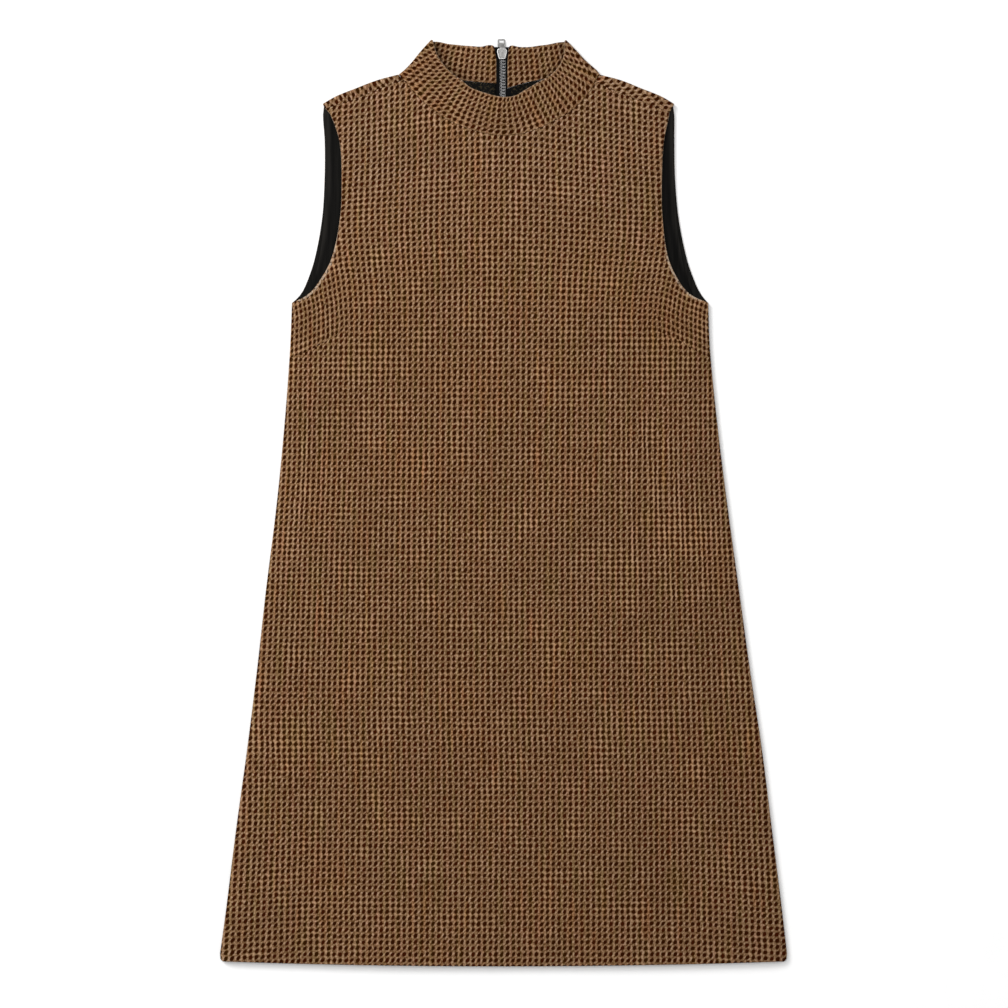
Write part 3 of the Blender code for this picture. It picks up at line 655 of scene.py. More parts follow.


# soft ridges (+) and troughs (-) laid in the front: from, to, half width, height
FRONT_FOLDS = [
    ((122.0, 92.0), (134.0, -105.0), 7.0, 1.0, 0.9),
    ((137.0, 84.0), (144.0, 40.0), 5.0, 1.3, 1.2),
    ((129.0, 60.0), (134.0, 12.0), 3.5, 0.9, 0.5),
    ((160.0, 72.0), (166.0, 20.0), 4.0, 0.9, 0.5),
    ((176.0, 66.0), (184.0, 22.0), 4.0, 0.8, 0.5),
    ((151.0, 40.0), (153.0, -10.0), 5.0, 1.3, 1.6),
    ((168.0, 86.0), (181.0, -60.0), 6.5, 1.0, 1.0),
    ((141.0, 10.0), (149.0, -80.0), 5.0, -0.7, -0.8),
    ((163.0, -20.0), (170.0, -105.0), 6.0, 1.1, 1.0),
    ((190.0, 60.0), (204.0, -110.0), 7.0, 0.7, 0.8),
    ((-193.0, 104.0), (-205.0, -40.0), 7.5, 1.0, 0.9),
    ((-176.0, 96.0), (-184.0, -10.0), 6.0, 0.6, 0.6),
    ((128.0, -50.0), (212.0, -58.0), 4.5, 0.8, 0.7),
    ((138.0, -82.0), (205.0, -90.0), 5.5, 0.7, 0.6),
    ((-232.0, -56.0), (-176.0, -66.0), 6.5, 0.7, 0.6),
    ((232.0, -368.0), (276.0, -380.0), 7.5, 0.7, 0.6),
    ((-190.0, -62.0), (-172.0, -118.0), 5.5, 0.8, 0.8),
    ((-205.0, -70.0), (-192.0, -112.0), 4.5, -0.5, -0.4),
    ((-72.0, -237.0), (88.0, -240.0), 5.5, 0.8, 0.8),
    ((-60.0, -247.0), (70.0, -250.0), 5.0, -0.5, 0.0),
    ((-252.0, -215.0), (-205.0, -275.0), 8.0, 0.8, 0.8),
    ((-225.0, -205.0), (-188.0, -262.0), 6.0, -0.5, 0.0),
    ((-124.0, -34.0), (-62.0, -42.0), 7.0, 0.6, 0.6),
    ((-172.0, -402.0), (-150.0, -424.0), 7.0, 0.7, 0.8),
    ((-60.0, -60.0), (150.0, -66.0), 12.0, 0.7, 0.0),
    ((60.0, -330.0), (150.0, -352.0), 16.0, 0.6, 0.0),
    ((-150.0, -350.0), (-60.0, -372.0), 18.0, 0.6, 0.0),
    ((195.0, -250.0), (232.0, -380.0), 14.0, 0.9, 0.0),
    ((-205.0, -300.0), (-240.0, -420.0), 13.0, 0.8, 0.0),
    ((-150.0, 178.0), (-112.0, 206.0), 12.0, 0.7, 0.0),
    ((150.0, 174.0), (112.0, 200.0), 12.0, 0.7, 0.0),
    ((-150.0, 320.0), (-110.0, 338.0), 12.0, 0.5, 0.0),
    ((148.0, 318.0), (108.0, 336.0), 12.0, 0.5, 0.0),
]


# places where the cloth is painted as finely buckled both ways, rounder dots and a painted highlight on the yarns'
# crossings: middle, half width and length, strength
BUCKLES = [
    (158.0, 148.0, 55.0, 38.0, 0.9), (112.0, 166.0, 30.0, 40.0, 0.8), (-140.0, 142.0, 48.0, 34.0, 0.8),
    (176.0, -28.0, 50.0, 36.0, 1.0), (118.0, -74.0, 44.0, 24.0, 0.8), (-148.0, -74.0, 24.0, 18.0, 0.9),
    (-212.0, -236.0, 34.0, 40.0, 0.8), (150.0, -220.0, 60.0, 30.0, 0.6), (-60.0, 312.0, 30.0, 22.0, 0.5),
]


def dart_gap(x, y):
    """Distance from the nearer dart, mm, more where it has ended."""
    if abs(x) < 105.0 or not 100.0 < y < 225.0:
        return 99.0, 0.0
    path = DART_L if x < 0 else DART_R
    best, run = 99.0, 0.0
    for k, (a, b) in enumerate(zip(path, path[1:])):
        t, d, _ = segment(x, y, a, b)
        if d < best:
            best, run = d, (k + min(max(t, 0.0), 1.0)) / (len(path) - 1)
    return best, run


def front_ridge(x, y):
    """How much of a ridge there is, by the folds alone: the strength of the painted highlight on them."""
    top = 0.0
    for a, b, wide, high, full in FRONT_FOLDS:
        if full and min(a[0], b[0]) - 3 * wide < x < max(a[0], b[0]) + 3 * wide and (
            min(a[1], b[1]) - 3 * wide < y < max(a[1], b[1]) + 3 * wide
        ):
            t, d, _ = segment(x, y, a, b)
            top += high * (0.75 + 0.25 * math.sin(t * 17.0 + a[0])) * smooth(min(t + 0.2, 1.2 - t) / 0.5) * math.exp(-((d / (0.7 * wide)) ** 2))
    return top


def front_relief(x, y):
    z = 0.0
    for a, b, wide, high, _ in FRONT_FOLDS:
        if min(a[0], b[0]) - 3 * wide < x < max(a[0], b[0]) + 3 * wide and (
            min(a[1], b[1]) - 3 * wide < y < max(a[1], b[1]) + 3 * wide
        ):
            t, d, _ = segment(x, y, a, b)
            fade = smooth(min(t + 0.25, 1.25 - t) / 0.5)
            uneven = 1 + 0.25 * math.sin(t * 7.0 + a[0])
            z += high * uneven * fade * math.exp(-((d / wide) ** 2))
    z += 0.35 * math.sin(x / 47.0 + 0.8) * math.sin(y / 61.0 + 0.3) * smooth((250.0 - y) / 150.0)
    d, run = dart_gap(x, y)
    if d < 40.0:
        z -= (0.55 - 0.3 * run) * math.exp(-((d / 0.9) ** 2))
        z += 0.5 * math.exp(-((d / 7.0) ** 2)) * (1 - 0.4 * run)
        tip = (DART_L if x < 0 else DART_R)[-1]
        z -= 0.4 * math.exp(-((x - tip[0]) ** 2 + (y - tip[1]) ** 2) / (2 * 7.0**2))
    hem = y - hem_y(x)
    z += 0.3 * smooth((36.0 - hem) / 2.5)  # the turned-up hem under the cloth
    z -= 0.25 * math.exp(-(((hem - 37.5) / 1.6) ** 2))
    return z


def back_relief(x, y):
    """Creases of the hidden back, kept clear of the floor: they only rise."""
    z = 0.35 * (1 + math.sin(x / 41.0 + 2.0) * math.sin(y / 57.0 + 1.3)) * smooth((150.0 - y) / 120.0)
    for a, b, wide, high in (
        ((-150.0, 80.0), (-168.0, -110.0), 9.0, 0.5), ((140.0, 70.0), (158.0, -120.0), 9.0, 0.5),
        ((-120.0, -235.0), (90.0, -242.0), 8.0, 0.4), ((-30.0, -330.0), (-80.0, -420.0), 12.0, 0.5),
    ):
        t, d, _ = segment(x, y, a, b)
        z += high * smooth(min(t + 0.25, 1.25 - t) / 0.5) * math.exp(-((d / wide) ** 2))
    return z


# ---- thin shells ----
def fine_ends(n, first=(0.0, 0.0004, 0.0012, 0.0024, 0.0045, 0.008), last=None):
    """Even steps with a few finer ones at each end."""
    last = first if last is None else last
    body = list(np.linspace(first[-1], 1 - last[-1], n + 1))
    return list(first[:-1]) + body + [1 - f for f in last[:-1][::-1]]


def mm_steps(length, n, edges=(0.0, 0.12, 0.4, 0.8, 1.4, 2.6), last=None):
    """Steps from 0 to 1 on a run of that length: fine near the ends, even between."""
    last = edges if last is None else last
    body = list(np.linspace(edges[-1], length - last[-1], n + 1))
    return [s / length for s in list(edges[:-1]) + body + [length - e for e in last[:-1][::-1]]]


def shell(name, us, vs, place, thick, uv, finish, bake, body="garment", keep=None, relief=None,
          outer=1.0, rolls=(None, None, None, None), split=None, lined=None, ridge=None, lit=None, edge_highlight_offset=0.0, turn=None):
    """A closed thin shell on the surface place(u, v), its edges rolled to nothing.

    rolls are the radii of the roll at low and high u, then low and high v. Faces above row
    split are told so when their flat place is asked. lit(edge, u, v) is how wide the painted
    highlight along an edge is, mm, and the number after it how much less so; it is kept on
    the points as edge_mm, and turn(x, y, v), how far the yarns are turned, as turn.
    lined(side, x, y, v, far) says where the first material, and not the second, is seen;
    ridge(x, y, far, u, v, layer) is kept as a number on the points, for painted light and shade.
    """
    nu, nv = len(us), len(vs)
    data = [[place(u, v) for u in us] for v in vs]
    mid = np.array([[p[:3] for p in row] for row in data], float)
    kept = np.array([[True] * nu for _ in vs]) if keep is None else np.array([[keep(u, v) for u in us] for v in vs])
    du = np.gradient(mid, axis=1)
    dv = np.gradient(mid, axis=0)
    if keep is not None:  # slopes of kept points only look at kept points
        for j in range(nv):
            ks = np.nonzero(kept[j])[0]
            if len(ks) > 1:
                du[j, ks] = np.gradient(mid[j, ks], axis=0)
    normal = np.cross(du, dv)
    length = np.linalg.norm(normal, axis=2, keepdims=True)
    normal = np.where(length > 1e-9, normal / np.maximum(length, 1e-9), [0.0, 0.0, 1.0]) * outer
    if relief is not None:
        off = np.array([[relief(p[0], p[1], u, v) for p, u in zip(row, us)] for row, v in zip(mid, vs)])
        mid = mid + normal * off[:, :, None]
    # distance from each of the sheet's edges, along its rows and columns
    far = np.full((4, nv, nu), 1e9)
    for j in range(nv):
        ks = np.nonzero(kept[j])[0]
        if len(ks) > 1:
            run = np.r_[0, np.cumsum(np.linalg.norm(np.diff(mid[j, ks], axis=0), axis=1))]
            far[0, j, ks], far[1, j, ks] = run, run[-1] - run
    for i in range(nu):
        ks = np.nonzero(kept[:, i])[0]
        if len(ks) > 1:
            run = np.r_[0, np.cumsum(np.linalg.norm(np.diff(mid[ks, i], axis=0), axis=1))]
            far[2, ks, i], far[3, ks, i] = run, run[-1] - run
    h = np.full((nv, nu), thick / 2)
    for k, r in enumerate(rolls):
        share = np.minimum(far[k] / (r or thick / 2), 1.0)
        h = np.minimum(h, thick / 2 * np.sqrt(np.clip(1 - (1 - share) ** 2, 0, 1)))
    bright = np.full((nv, nu), 50.0)
    if lit is not None:
        for j in range(nv):
            for i in range(nu):
                for k in range(4):
                    wide = lit(k, us[i], vs[j]) if far[k, j, i] < 4.0 else 0.0
                    if wide:
                        bright[j, i] = min(bright[j, i], edge_highlight_offset + far[k, j, i] / wide)
    far = far.min(0)
    top, low = mid + normal * h[:, :, None], mid - normal * h[:, :, None]
    ids = np.full((2, nv, nu), -1, int)
    points, rim, ridges, turns = [], [], [], []
    for j in range(nv):
        for i in range(nu):
            if not kept[j, i]:
                continue
            gap = bright[j, i]
            high = [0.0 if ridge is None else ridge(mid[j, i, 0], mid[j, i, 1], far[j, i], us[i], vs[j], k) for k in (0, 1)]
            turned = 0.0 if turn is None else turn(mid[j, i, 0], mid[j, i, 1], vs[j])
            ids[0, j, i] = len(points)
            points.append(top[j, i])
            rim.append(gap)
            ridges.append(high[0])
            turns.append(turned)
            if far[j, i] > 1e-6:
                ids[1, j, i] = len(points)
                points.append(low[j, i])
                rim.append(gap)
                ridges.append(high[1])
                turns.append(turned)
            else:
                ids[1, j, i] = ids[0, j, i]
    faces, sides, corners = [], [], []
    for j in range(nv - 1):
        for i in range(nu - 1):
            if not (kept[j, i] and kept[j + 1, i] and kept[j, i + 1] and kept[j + 1, i + 1]):
                continue
            ring = [(j, i), (j, i + 1), (j + 1, i + 1), (j + 1, i)]
            for side in (0, 1):
                order = ring if (side == 0) == (outer > 0) else ring[::-1]
                f = [ids[side][c] for c in order]
                if len(set(f)) < 3:
                    continue
                seen, f2, c2 = set(), [], []
                for vertex, corner in zip(f, order):
                    if vertex not in seen:
                        seen.add(vertex)
                        f2.append(vertex)
                        c2.append(corner)
                faces.append(f2)
                sides.append(side)
                corners.append((c2, split is not None and vs[j] >= split - 1e-9))
    mesh = bpy.data.meshes.new(name)
    mesh.from_pydata([tuple(c * MM for c in p) for p in points], [], faces)
    layers = [mesh.uv_layers.new(name="cloth"), mesh.uv_layers.new(name="OFBake")]
    for layer, rule, unit_size in zip(layers, (uv, bake), (MM, 1.0)):
        flat, values = {}, []
        for (f, above), side in zip(corners, sides):
            for c in f:
                key = (side, c, above)
                if key not in flat:
                    j, i = c
                    flat[key] = rule(data[j][i], us[i], vs[j], side, above)
                values.extend(flat[key])
        layer.data.foreach_set("uv", np.array(values, np.float32) * unit_size)
    mesh.uv_layers.active_index = 0
    mesh.uv_layers["cloth"].active_render = True
    edge = mesh.attributes.new("edge_mm", "FLOAT", "POINT")
    edge.data.foreach_set("value", np.minimum(np.array(rim, np.float32), 50.0))
    crest = mesh.attributes.new("ridge", "FLOAT", "POINT")
    crest.data.foreach_set("value", np.array(ridges, np.float32))
    if turn is not None:
        twist = mesh.attributes.new("turn", "FLOAT", "POINT")
        twist.data.foreach_set("value", np.array(turns, np.float32))
    mats = finish if isinstance(finish, (list, tuple)) else [finish]
    for m in mats:
        mesh.materials.append(m)
    if len(mats) > 1:
        slots = []
        for (f, _), side in zip(corners, sides):
            j, i = f[0]
            slots.append(0 if lined(side, mid[j, i, 0], mid[j, i, 1], vs[j], min(far[c] for c in f)) else 1)
        mesh.polygons.foreach_set("material_index", np.array(slots, np.int32))
    mesh.shade_smooth()
    obj = bpy.data.objects.new(name, mesh)
    bpy.context.scene.collection.objects.link(obj)
    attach(obj, body)
    return obj


# ---- materials ----
class Nodes:
    """Short hand for a material's node tree."""

    def __init__(self, name):
        self.mat = bpy.data.materials.new(name)
        self.mat.use_nodes = True
        self.tree = self.mat.node_tree
        self.bsdf = self.tree.nodes["Principled BSDF"]

    def add(self, kind, **inputs):
        node = self.tree.nodes.new(kind)
        for key, value in inputs.items():
            setattr(node, key, value)
        return node

    def put(self, node, **values):
        for key, value in values.items():
            socket = node.inputs[key.replace("_", " ")] if not key.startswith("n") or not key[1:].isdigit() else node.inputs[int(key[1:])]
            self.set(socket, value)
        return node

    def set(self, socket, value):
        if isinstance(value, bpy.types.NodeSocket):
            self.tree.links.new(value, socket)
        else:
            socket.default_value = value

    def math(self, op, a, b=None, c=None, clamp=False):
        node = self.add("ShaderNodeMath", operation=op, use_clamp=clamp)
        for k, value in enumerate((a, b, c)):
            if value is not None:
                self.set(node.inputs[k], value)
        return node.outputs[0]

    def vec(self, op, a, b=None):
        node = self.add("ShaderNodeVectorMath", operation=op)
        self.set(node.inputs[0], a)
        if b is not None:
            self.set(node.inputs[1], b)
        return node.outputs["Value"] if op in ("LENGTH", "DOT_PRODUCT") else node.outputs["Vector"]

    def split(self, v):
        node = self.add("ShaderNodeSeparateXYZ")
        self.set(node.inputs[0], v)
        return node.outputs

    def join(self, x=0.0, y=0.0, z=0.0):
        node = self.add("ShaderNodeCombineXYZ")
        for k, value in enumerate((x, y, z)):
            self.set(node.inputs[k], value)
        return node.outputs[0]

    def mix(self, share, a, b, mode="MIX"):
        node = self.add("ShaderNodeMix", data_type="RGBA", blend_type=mode)
        self.set(node.inputs["Factor"], share)
        ins = [s for s in node.inputs if s.type == "RGBA"]
        for socket, value in zip(ins, (a, b)):
            if isinstance(value, tuple) and len(value) == 3:
                value = (*value, 1.0)
            self.set(socket, value)
        return [s for s in node.outputs if s.type == "RGBA"][0]

    def range(self, value, a, b, lo=0.0, hi=1.0, kind="SMOOTHSTEP"):
        node = self.add("ShaderNodeMapRange", interpolation_type=kind)
        self.set(node.inputs["Value"], value)
        for key, x in (("From Min", a), ("From Max", b), ("To Min", lo), ("To Max", hi)):
            self.set(node.inputs[key], x)
        return node.outputs[0]

    def noise(self, vector, scale=1.0, detail=2.0, rough=0.5, size="3D"):
        node = self.add("ShaderNodeTexNoise", noise_dimensions=size)
        self.set(node.inputs["Vector"], vector)
        self.set(node.inputs["Scale"], scale)
        self.set(node.inputs["Detail"], detail)
        self.set(node.inputs["Roughness"], rough)
        return node

    def uv(self):
        node = self.add("ShaderNodeUVMap", uv_map="cloth")
        return node.outputs[0]

    def attribute(self, name):
        return self.add("ShaderNodeAttribute", attribute_name=name).outputs["Fac"]


def tweed(name, pitch=(PITCH_U, PITCH_V)):
    """A small dark check on tan: slanting dots of dark yarn, lighter strokes between."""
    n = Nodes(name)
    flat = n.uv()
    cells = n.vec("MULTIPLY", flat, (1000.0 / pitch[0], 1000.0 / pitch[1], 0.0))
    cells = n.vec("ADD", cells, (0.5, 0.5, 0.0))
    # the yarns wander a little
    wander = n.noise(n.vec("MULTIPLY", flat, (95.0, 95.0, 0.0)), 1.0, 2.0, 0.5, "2D")
    shift = n.vec("MULTIPLY", n.vec("SUBTRACT", wander.outputs["Color"], (0.5, 0.5, 0.5)), (0.28, 0.28, 0.0))
    cells = n.vec("ADD", cells, shift)
    whole = n.vec("FLOOR", cells)
    part = n.vec("SUBTRACT", n.vec("FRACTION", cells), (0.5, 0.5, 0.0))
    white = n.add("ShaderNodeTexWhiteNoise", noise_dimensions="2D")
    n.set(white.inputs["Vector"], whole)
    chance = n.split(white.outputs["Color"])
    white2 = n.add("ShaderNodeTexWhiteNoise", noise_dimensions="2D")
    n.set(white2.inputs["Vector"], n.vec("ADD", whole, (37.0, 11.0, 0.0)))
    chance2 = n.split(white2.outputs["Color"])
    px, py, _ = n.split(part)
    part_y = py
    jx = n.math("MULTIPLY", n.math("SUBTRACT", chance[0], 0.5), 0.06)
    jy = n.math("MULTIPLY", n.math("SUBTRACT", chance[1], 0.5), 0.06)
    p = n.math("SUBTRACT", px, jx)
    q = n.math("SUBTRACT", py, jy)
    # the cloth's small buckles: in some places the light catches all the crossings of the
    # light yarns, in some the columns between the dots; there the dots look rounder
    moods = n.split(n.noise(n.vec("MULTIPLY", flat, (34.0, 30.0, 0.0)), 1.0, 2.0, 0.5, "2D").outputs["Color"])
    turned = n.attribute("turn")  # above 0 turned yarns, below 0 a buckled place
    turn = n.math("MAXIMUM", turned, 0.0)
    waffle = n.math("MAXIMUM", n.range(moods[0], 0.54, 0.66, 0.0, 0.8), n.range(turned, 0.0, -1.0))
    patchy = n.split(n.noise(n.vec("MULTIPLY", flat, (95.0, 60.0, 0.0)), 1.0, 2.0, 0.55, "2D").outputs["Color"])
    # painted highlight where the cloth is creased: the ridge number above 0 and random patches lighten the ground
    crease_highlight = n.math("MULTIPLY", n.range(n.attribute("ridge"), 0.05, 0.85), n.range(patchy[0], 0.40, 0.58, 0.1, 0.85))
    crease_highlight = n.math("MAXIMUM", crease_highlight, n.range(moods[1], 0.58, 0.72, 0.0, 0.24))
    waffle = n.math("MULTIPLY", waffle, n.range(patchy[1], 0.36, 0.58, 0.35, 1.15))
    lean = n.range(chance2[0], 0.0, 1.0, 0.17, 0.31, "LINEAR")
    lean = n.math("MULTIPLY", lean, n.math("SUBTRACT", 1.0, n.math("MULTIPLY", waffle, 0.45)))
    lean = n.math("SUBTRACT", lean, n.math("MULTIPLY", turn, 0.30))
    p = n.math("SUBTRACT", p, n.math("MULTIPLY", q, lean))
    big = n.range(chance[2], 0.0, 1.0, 0.96, 1.06, "LINEAR")
    ex = n.math("POWER", n.math("ABSOLUTE", n.math("DIVIDE", p, 0.303)), 2.3)
    tall = n.range(crease_highlight, 0.0, 1.0, 0.333, 0.45, "LINEAR")
    ey = n.math("POWER", n.math("ABSOLUTE", n.math("DIVIDE", q, tall)), 2.3)
    r = n.math("DIVIDE", n.math("POWER", n.math("ADD", ex, ey), 1 / 2.3), big)
    fuzz = n.noise(n.vec("MULTIPLY", flat, (900.0, 900.0, 0.0)), 1.0, 3.0, 0.6, "2D").outputs["Fac"]
    r = n.math("ADD", r, n.math("MULTIPLY", n.math("SUBTRACT", fuzz, 0.5), 0.40))
    dot = n.range(r, 0.82, 1.20, 1.0, 0.0)
    # a few dots show lighter yarn at their middle
    hollow = n.math("MULTIPLY", n.range(chance2[1], 0.95, 1.0), n.range(r, 0.55, 0.1, 0.0, 0.22))
    dot = n.math("SUBTRACT", dot, hollow, clamp=True)

    # ground: lighter between the columns, and strokes of light yarn that lean the same
    # way as the dots and pass between them
    cx, cy, _ = n.split(cells)
    slant = n.math("COSINE", n.math("MULTIPLY", n.math("SUBTRACT", cx, cy), 2 * math.pi))
    stroke = n.range(slant, 1.0, -1.0, 0.0, 1.0, "LINEAR")
    aisle = n.math("COSINE", n.math("MULTIPLY", n.math("SUBTRACT", cx, n.math("MULTIPLY", part_y, 0.12)), 2 * math.pi))
    aisle = n.range(aisle, -1.0, 1.0, 0.0, 1.0, "LINEAR")
    # single stitches of yarn: short slanting ones, lighter or darker
    ux, uy, _ = n.split(flat)
    lean_u = n.math("SUBTRACT", ux, n.math("MULTIPLY", uy, 0.25))
    stitch = n.noise(n.vec("MULTIPLY", n.join(lean_u, uy, 0.0), (560.0, 430.0, 0.0)), 1.0, 2.0, 0.6, "2D").outputs["Fac"]
    level = n.range(n.math("COSINE", n.math("MULTIPLY", cy, 2 * math.pi)), -1.0, 1.0, 0.0, 1.0, "LINEAR")
    cross = n.math("MULTIPLY", aisle, level)
    less = n.math("SUBTRACT", 1.0, n.math("MAXIMUM", n.math("MULTIPLY", turn, 0.6), n.math("MULTIPLY", waffle, 0.35)))
    light = n.math("ADD", n.math("MULTIPLY", n.math("MULTIPLY", stroke, 0.31), less), n.math("MULTIPLY", aisle, 0.36))
    light = n.math("ADD", light, n.math("MULTIPLY", level, 0.05))
    light = n.math("ADD", light, n.math("MULTIPLY", n.math("SUBTRACT", stitch, 0.5), 1.9))
    light = n.math("ADD", light, n.math("MULTIPLY", waffle, n.math("SUBTRACT", n.math("MULTIPLY", cross, 0.78), 0.10)))
    light = n.math("ADD", light, n.math("MULTIPLY", turn, n.math("MULTIPLY", level, 0.12)))
    crest = n.attribute("ridge")
    light = n.math("ADD", light, n.math("MULTIPLY", crease_highlight, n.math("SUBTRACT", n.math("MULTIPLY", aisle, 0.74), 0.24)))
    light = n.math("DIVIDE", light, PEAK, clamp=True)
    # single yarns, warp and weft
    yarn = n.math("SINE", n.math("MULTIPLY", n.math("ADD", cx, n.math("MULTIPLY", cy, -1.0)), 2 * math.pi * 4.0))
    weft = n.math("SINE", n.math("MULTIPLY", cy, 2 * math.pi * 6.0))
    fibre = n.noise(n.vec("MULTIPLY", flat, (2600.0, 1500.0, 0.0)), 1.0, 2.0, 0.6, "2D").outputs["Fac"]
    # slubs that run down single columns, and slow changes of shade
    slub = n.noise(n.vec("MULTIPLY", flat, (165.0, 13.0, 0.0)), 1.0, 2.0, 0.5, "2D").outputs["Color"]
    slubs = n.split(slub)
    cloud = n.noise(n.vec("MULTIPLY", flat, (14.0, 11.0, 0.0)), 1.0, 2.0, 0.5, "2D").outputs["Color"]
    clouds = n.split(cloud)

    ground = n.mix(light, GROUND_DARK, GROUND_LIGHT)
    plain = n.math("SUBTRACT", 1.0, n.math("MULTIPLY", n.math("MAXIMUM", crease_highlight, waffle), 0.85), clamp=True)
    ground = n.mix(n.math("MULTIPLY", n.range(light, 0.40, 0.75, 0.0, 0.6), plain), ground, GROUND_HIGH)
    white_rgb = (1.0, 1.0, 1.0)
    for share, tint in (
        (n.range(slubs[0], 0.52, 0.70), TINT_MAUVE), (n.range(slubs[1], 0.52, 0.70), TINT_OLIVE),
        (n.range(slubs[2], 0.58, 0.74), TINT_ORANGE), (n.range(clouds[0], 0.45, 0.75), TINT_WARM),
    ):
        ground = n.mix(1.0, ground, n.mix(share, white_rgb, tint), "MULTIPLY")
    shade = n.math("ADD", 1.0, n.math("MULTIPLY", n.math("SUBTRACT", fibre, 0.5), 0.5))
    shade = n.math("ADD", shade, n.math("MULTIPLY", yarn, 0.06))
    shade = n.math("ADD", shade, n.math("MULTIPLY", weft, 0.05))
    shade = n.math("ADD", shade, n.math("MULTIPLY", n.math("SUBTRACT", clouds[1], 0.5), 0.22))
    rows = n.noise(n.vec("MULTIPLY", flat, (9.0, 170.0, 0.0)), 1.0, 2.0, 0.5, "2D").outputs["Fac"]
    shade = n.math("ADD", shade, n.math("MULTIPLY", n.math("SUBTRACT", rows, 0.5), 0.16))  # weft yarns differ a little
    flat_x, flat_y, _ = n.split(flat)  # painted shade: the cloth is darker low and right, as light falls off from the upper left
    shade = n.math("MULTIPLY", shade, n.range(flat_y, -0.52, 0.30, 0.895, 1.035, "LINEAR"))
    shade = n.math("MULTIPLY", shade, n.range(flat_x, -0.22, 0.22, 1.045, 0.935, "LINEAR"))
    ground = n.mix(1.0, ground, n.join(shade, shade, shade), "MULTIPLY")
    # painted shade below the chest
    ground = n.mix(n.range(flat_y, 0.16, 0.32, 1.0, 0.0), ground, PAINTED_SHADE_LOW, "MULTIPLY")

    dark = n.mix(n.range(chance2[2], 0.55, 1.0, 0.0, 0.8), DOT_BROWN, DOT_RED)
    dark = n.mix(n.range(slubs[1], 0.54, 0.70, 0.0, 0.7), dark, DOT_OLIVE)
    dark = n.mix(n.range(fibre, 0.55, 0.85, 0.0, 0.25), dark, DOT_FIBRE)

    # painted highlight along folded edges: they are lighter, and few dots show in them
    edge = n.attribute("edge_mm")
    broken = n.noise(n.vec("MULTIPLY", flat, (260.0, 260.0, 0.0)), 1.0, 2.0, 0.6, "2D").outputs["Fac"]
    # mask of the painted edge highlight, from the distance kept as edge_mm
    edge_highlight_mask = n.math("MULTIPLY", n.range(edge, 0.5, 1.5, 1.0, 0.0), n.range(broken, 0.40, 0.56, 0.15, 1.0))
    dot_here = n.math("MULTIPLY", dot, n.math("SUBTRACT", 1.0, n.math("MULTIPLY", edge_highlight_mask, 0.75)))
    colour = n.mix(dot_here, ground, dark)
    colour = n.mix(n.math("MULTIPLY", edge_highlight_mask, 0.72), colour, EDGE_HIGHLIGHT)
    # where the cloth turns away from the light
    hidden = n.range(crest, -1.0, 0.0, 0.0, 1.0, "LINEAR")
    colour = n.mix(1.0, colour, n.join(hidden, hidden, hidden), "MULTIPLY")
    n.set(n.bsdf.inputs["Base Color"], colour)
    n.set(n.bsdf.inputs["Roughness"], n.range(fuzz, 0.2, 0.8, 0.85, 1.0))
    n.bsdf.inputs["Specular IOR Level"].default_value = 0.02
    n.bsdf.inputs["Specular Tint"].default_value = (0.45, 0.28, 0.16, 1.0)
    n.bsdf.inputs["Sheen Weight"].default_value = 0.015
    n.bsdf.inputs["Sheen Roughness"].default_value = 0.4
    n.bsdf.inputs["Sheen Tint"].default_value = (0.55, 0.36, 0.22, 1.0)
    height = n.math("ADD", n.math("MULTIPLY", dot, 0.5), n.math("MULTIPLY", light, 0.45))
    height = n.math("ADD", height, n.math("MULTIPLY", fibre, 0.5))
    height = n.math("ADD", height, n.math("MULTIPLY", weft, 0.08))
    bump_node = n.add("ShaderNodeBump")
    bump_node.inputs["Strength"].default_value = 0.35
    bump_node.inputs["Distance"].default_value = 0.0004
    n.set(bump_node.inputs["Height"], height)
    n.set(n.bsdf.inputs["Normal"], bump_node.outputs[0])
    return n.mat


GROUND_DARK = (0.0735, 0.0305, 0.0065)
PEAK = 1.35  # how light the painted highlight makes the ground where the cloth is creased
GROUND_LIGHT = (0.0735 + 0.294 * PEAK, 0.0305 + 0.1965 * PEAK, 0.0065 + 0.1265 * PEAK)
GROUND_HIGH = (0.45, 0.33, 0.25)  # the lightest yarns, where they stand up most
TINT_MAUVE = (1.03, 0.955, 0.99)
TINT_OLIVE = (0.955, 0.99, 0.88)
TINT_ORANGE = (1.06, 0.955, 0.86)
TINT_WARM = (1.01, 0.97, 0.93)
PAINTED_SHADE_LOW = (0.970, 0.935, 0.875)  # painted shade below the chest: darker and warmer
# colour of the painted highlight along folded edges
EDGE_HIGHLIGHT = (0.485, 0.380, 0.285)
DOT_BROWN = (0.0245, 0.0048, 0.0004)
DOT_RED = (0.0370, 0.0056, 0.0007)
DOT_OLIVE = (0.0260, 0.0095, 0.0006)
DOT_FIBRE = (0.050, 0.016, 0.003)


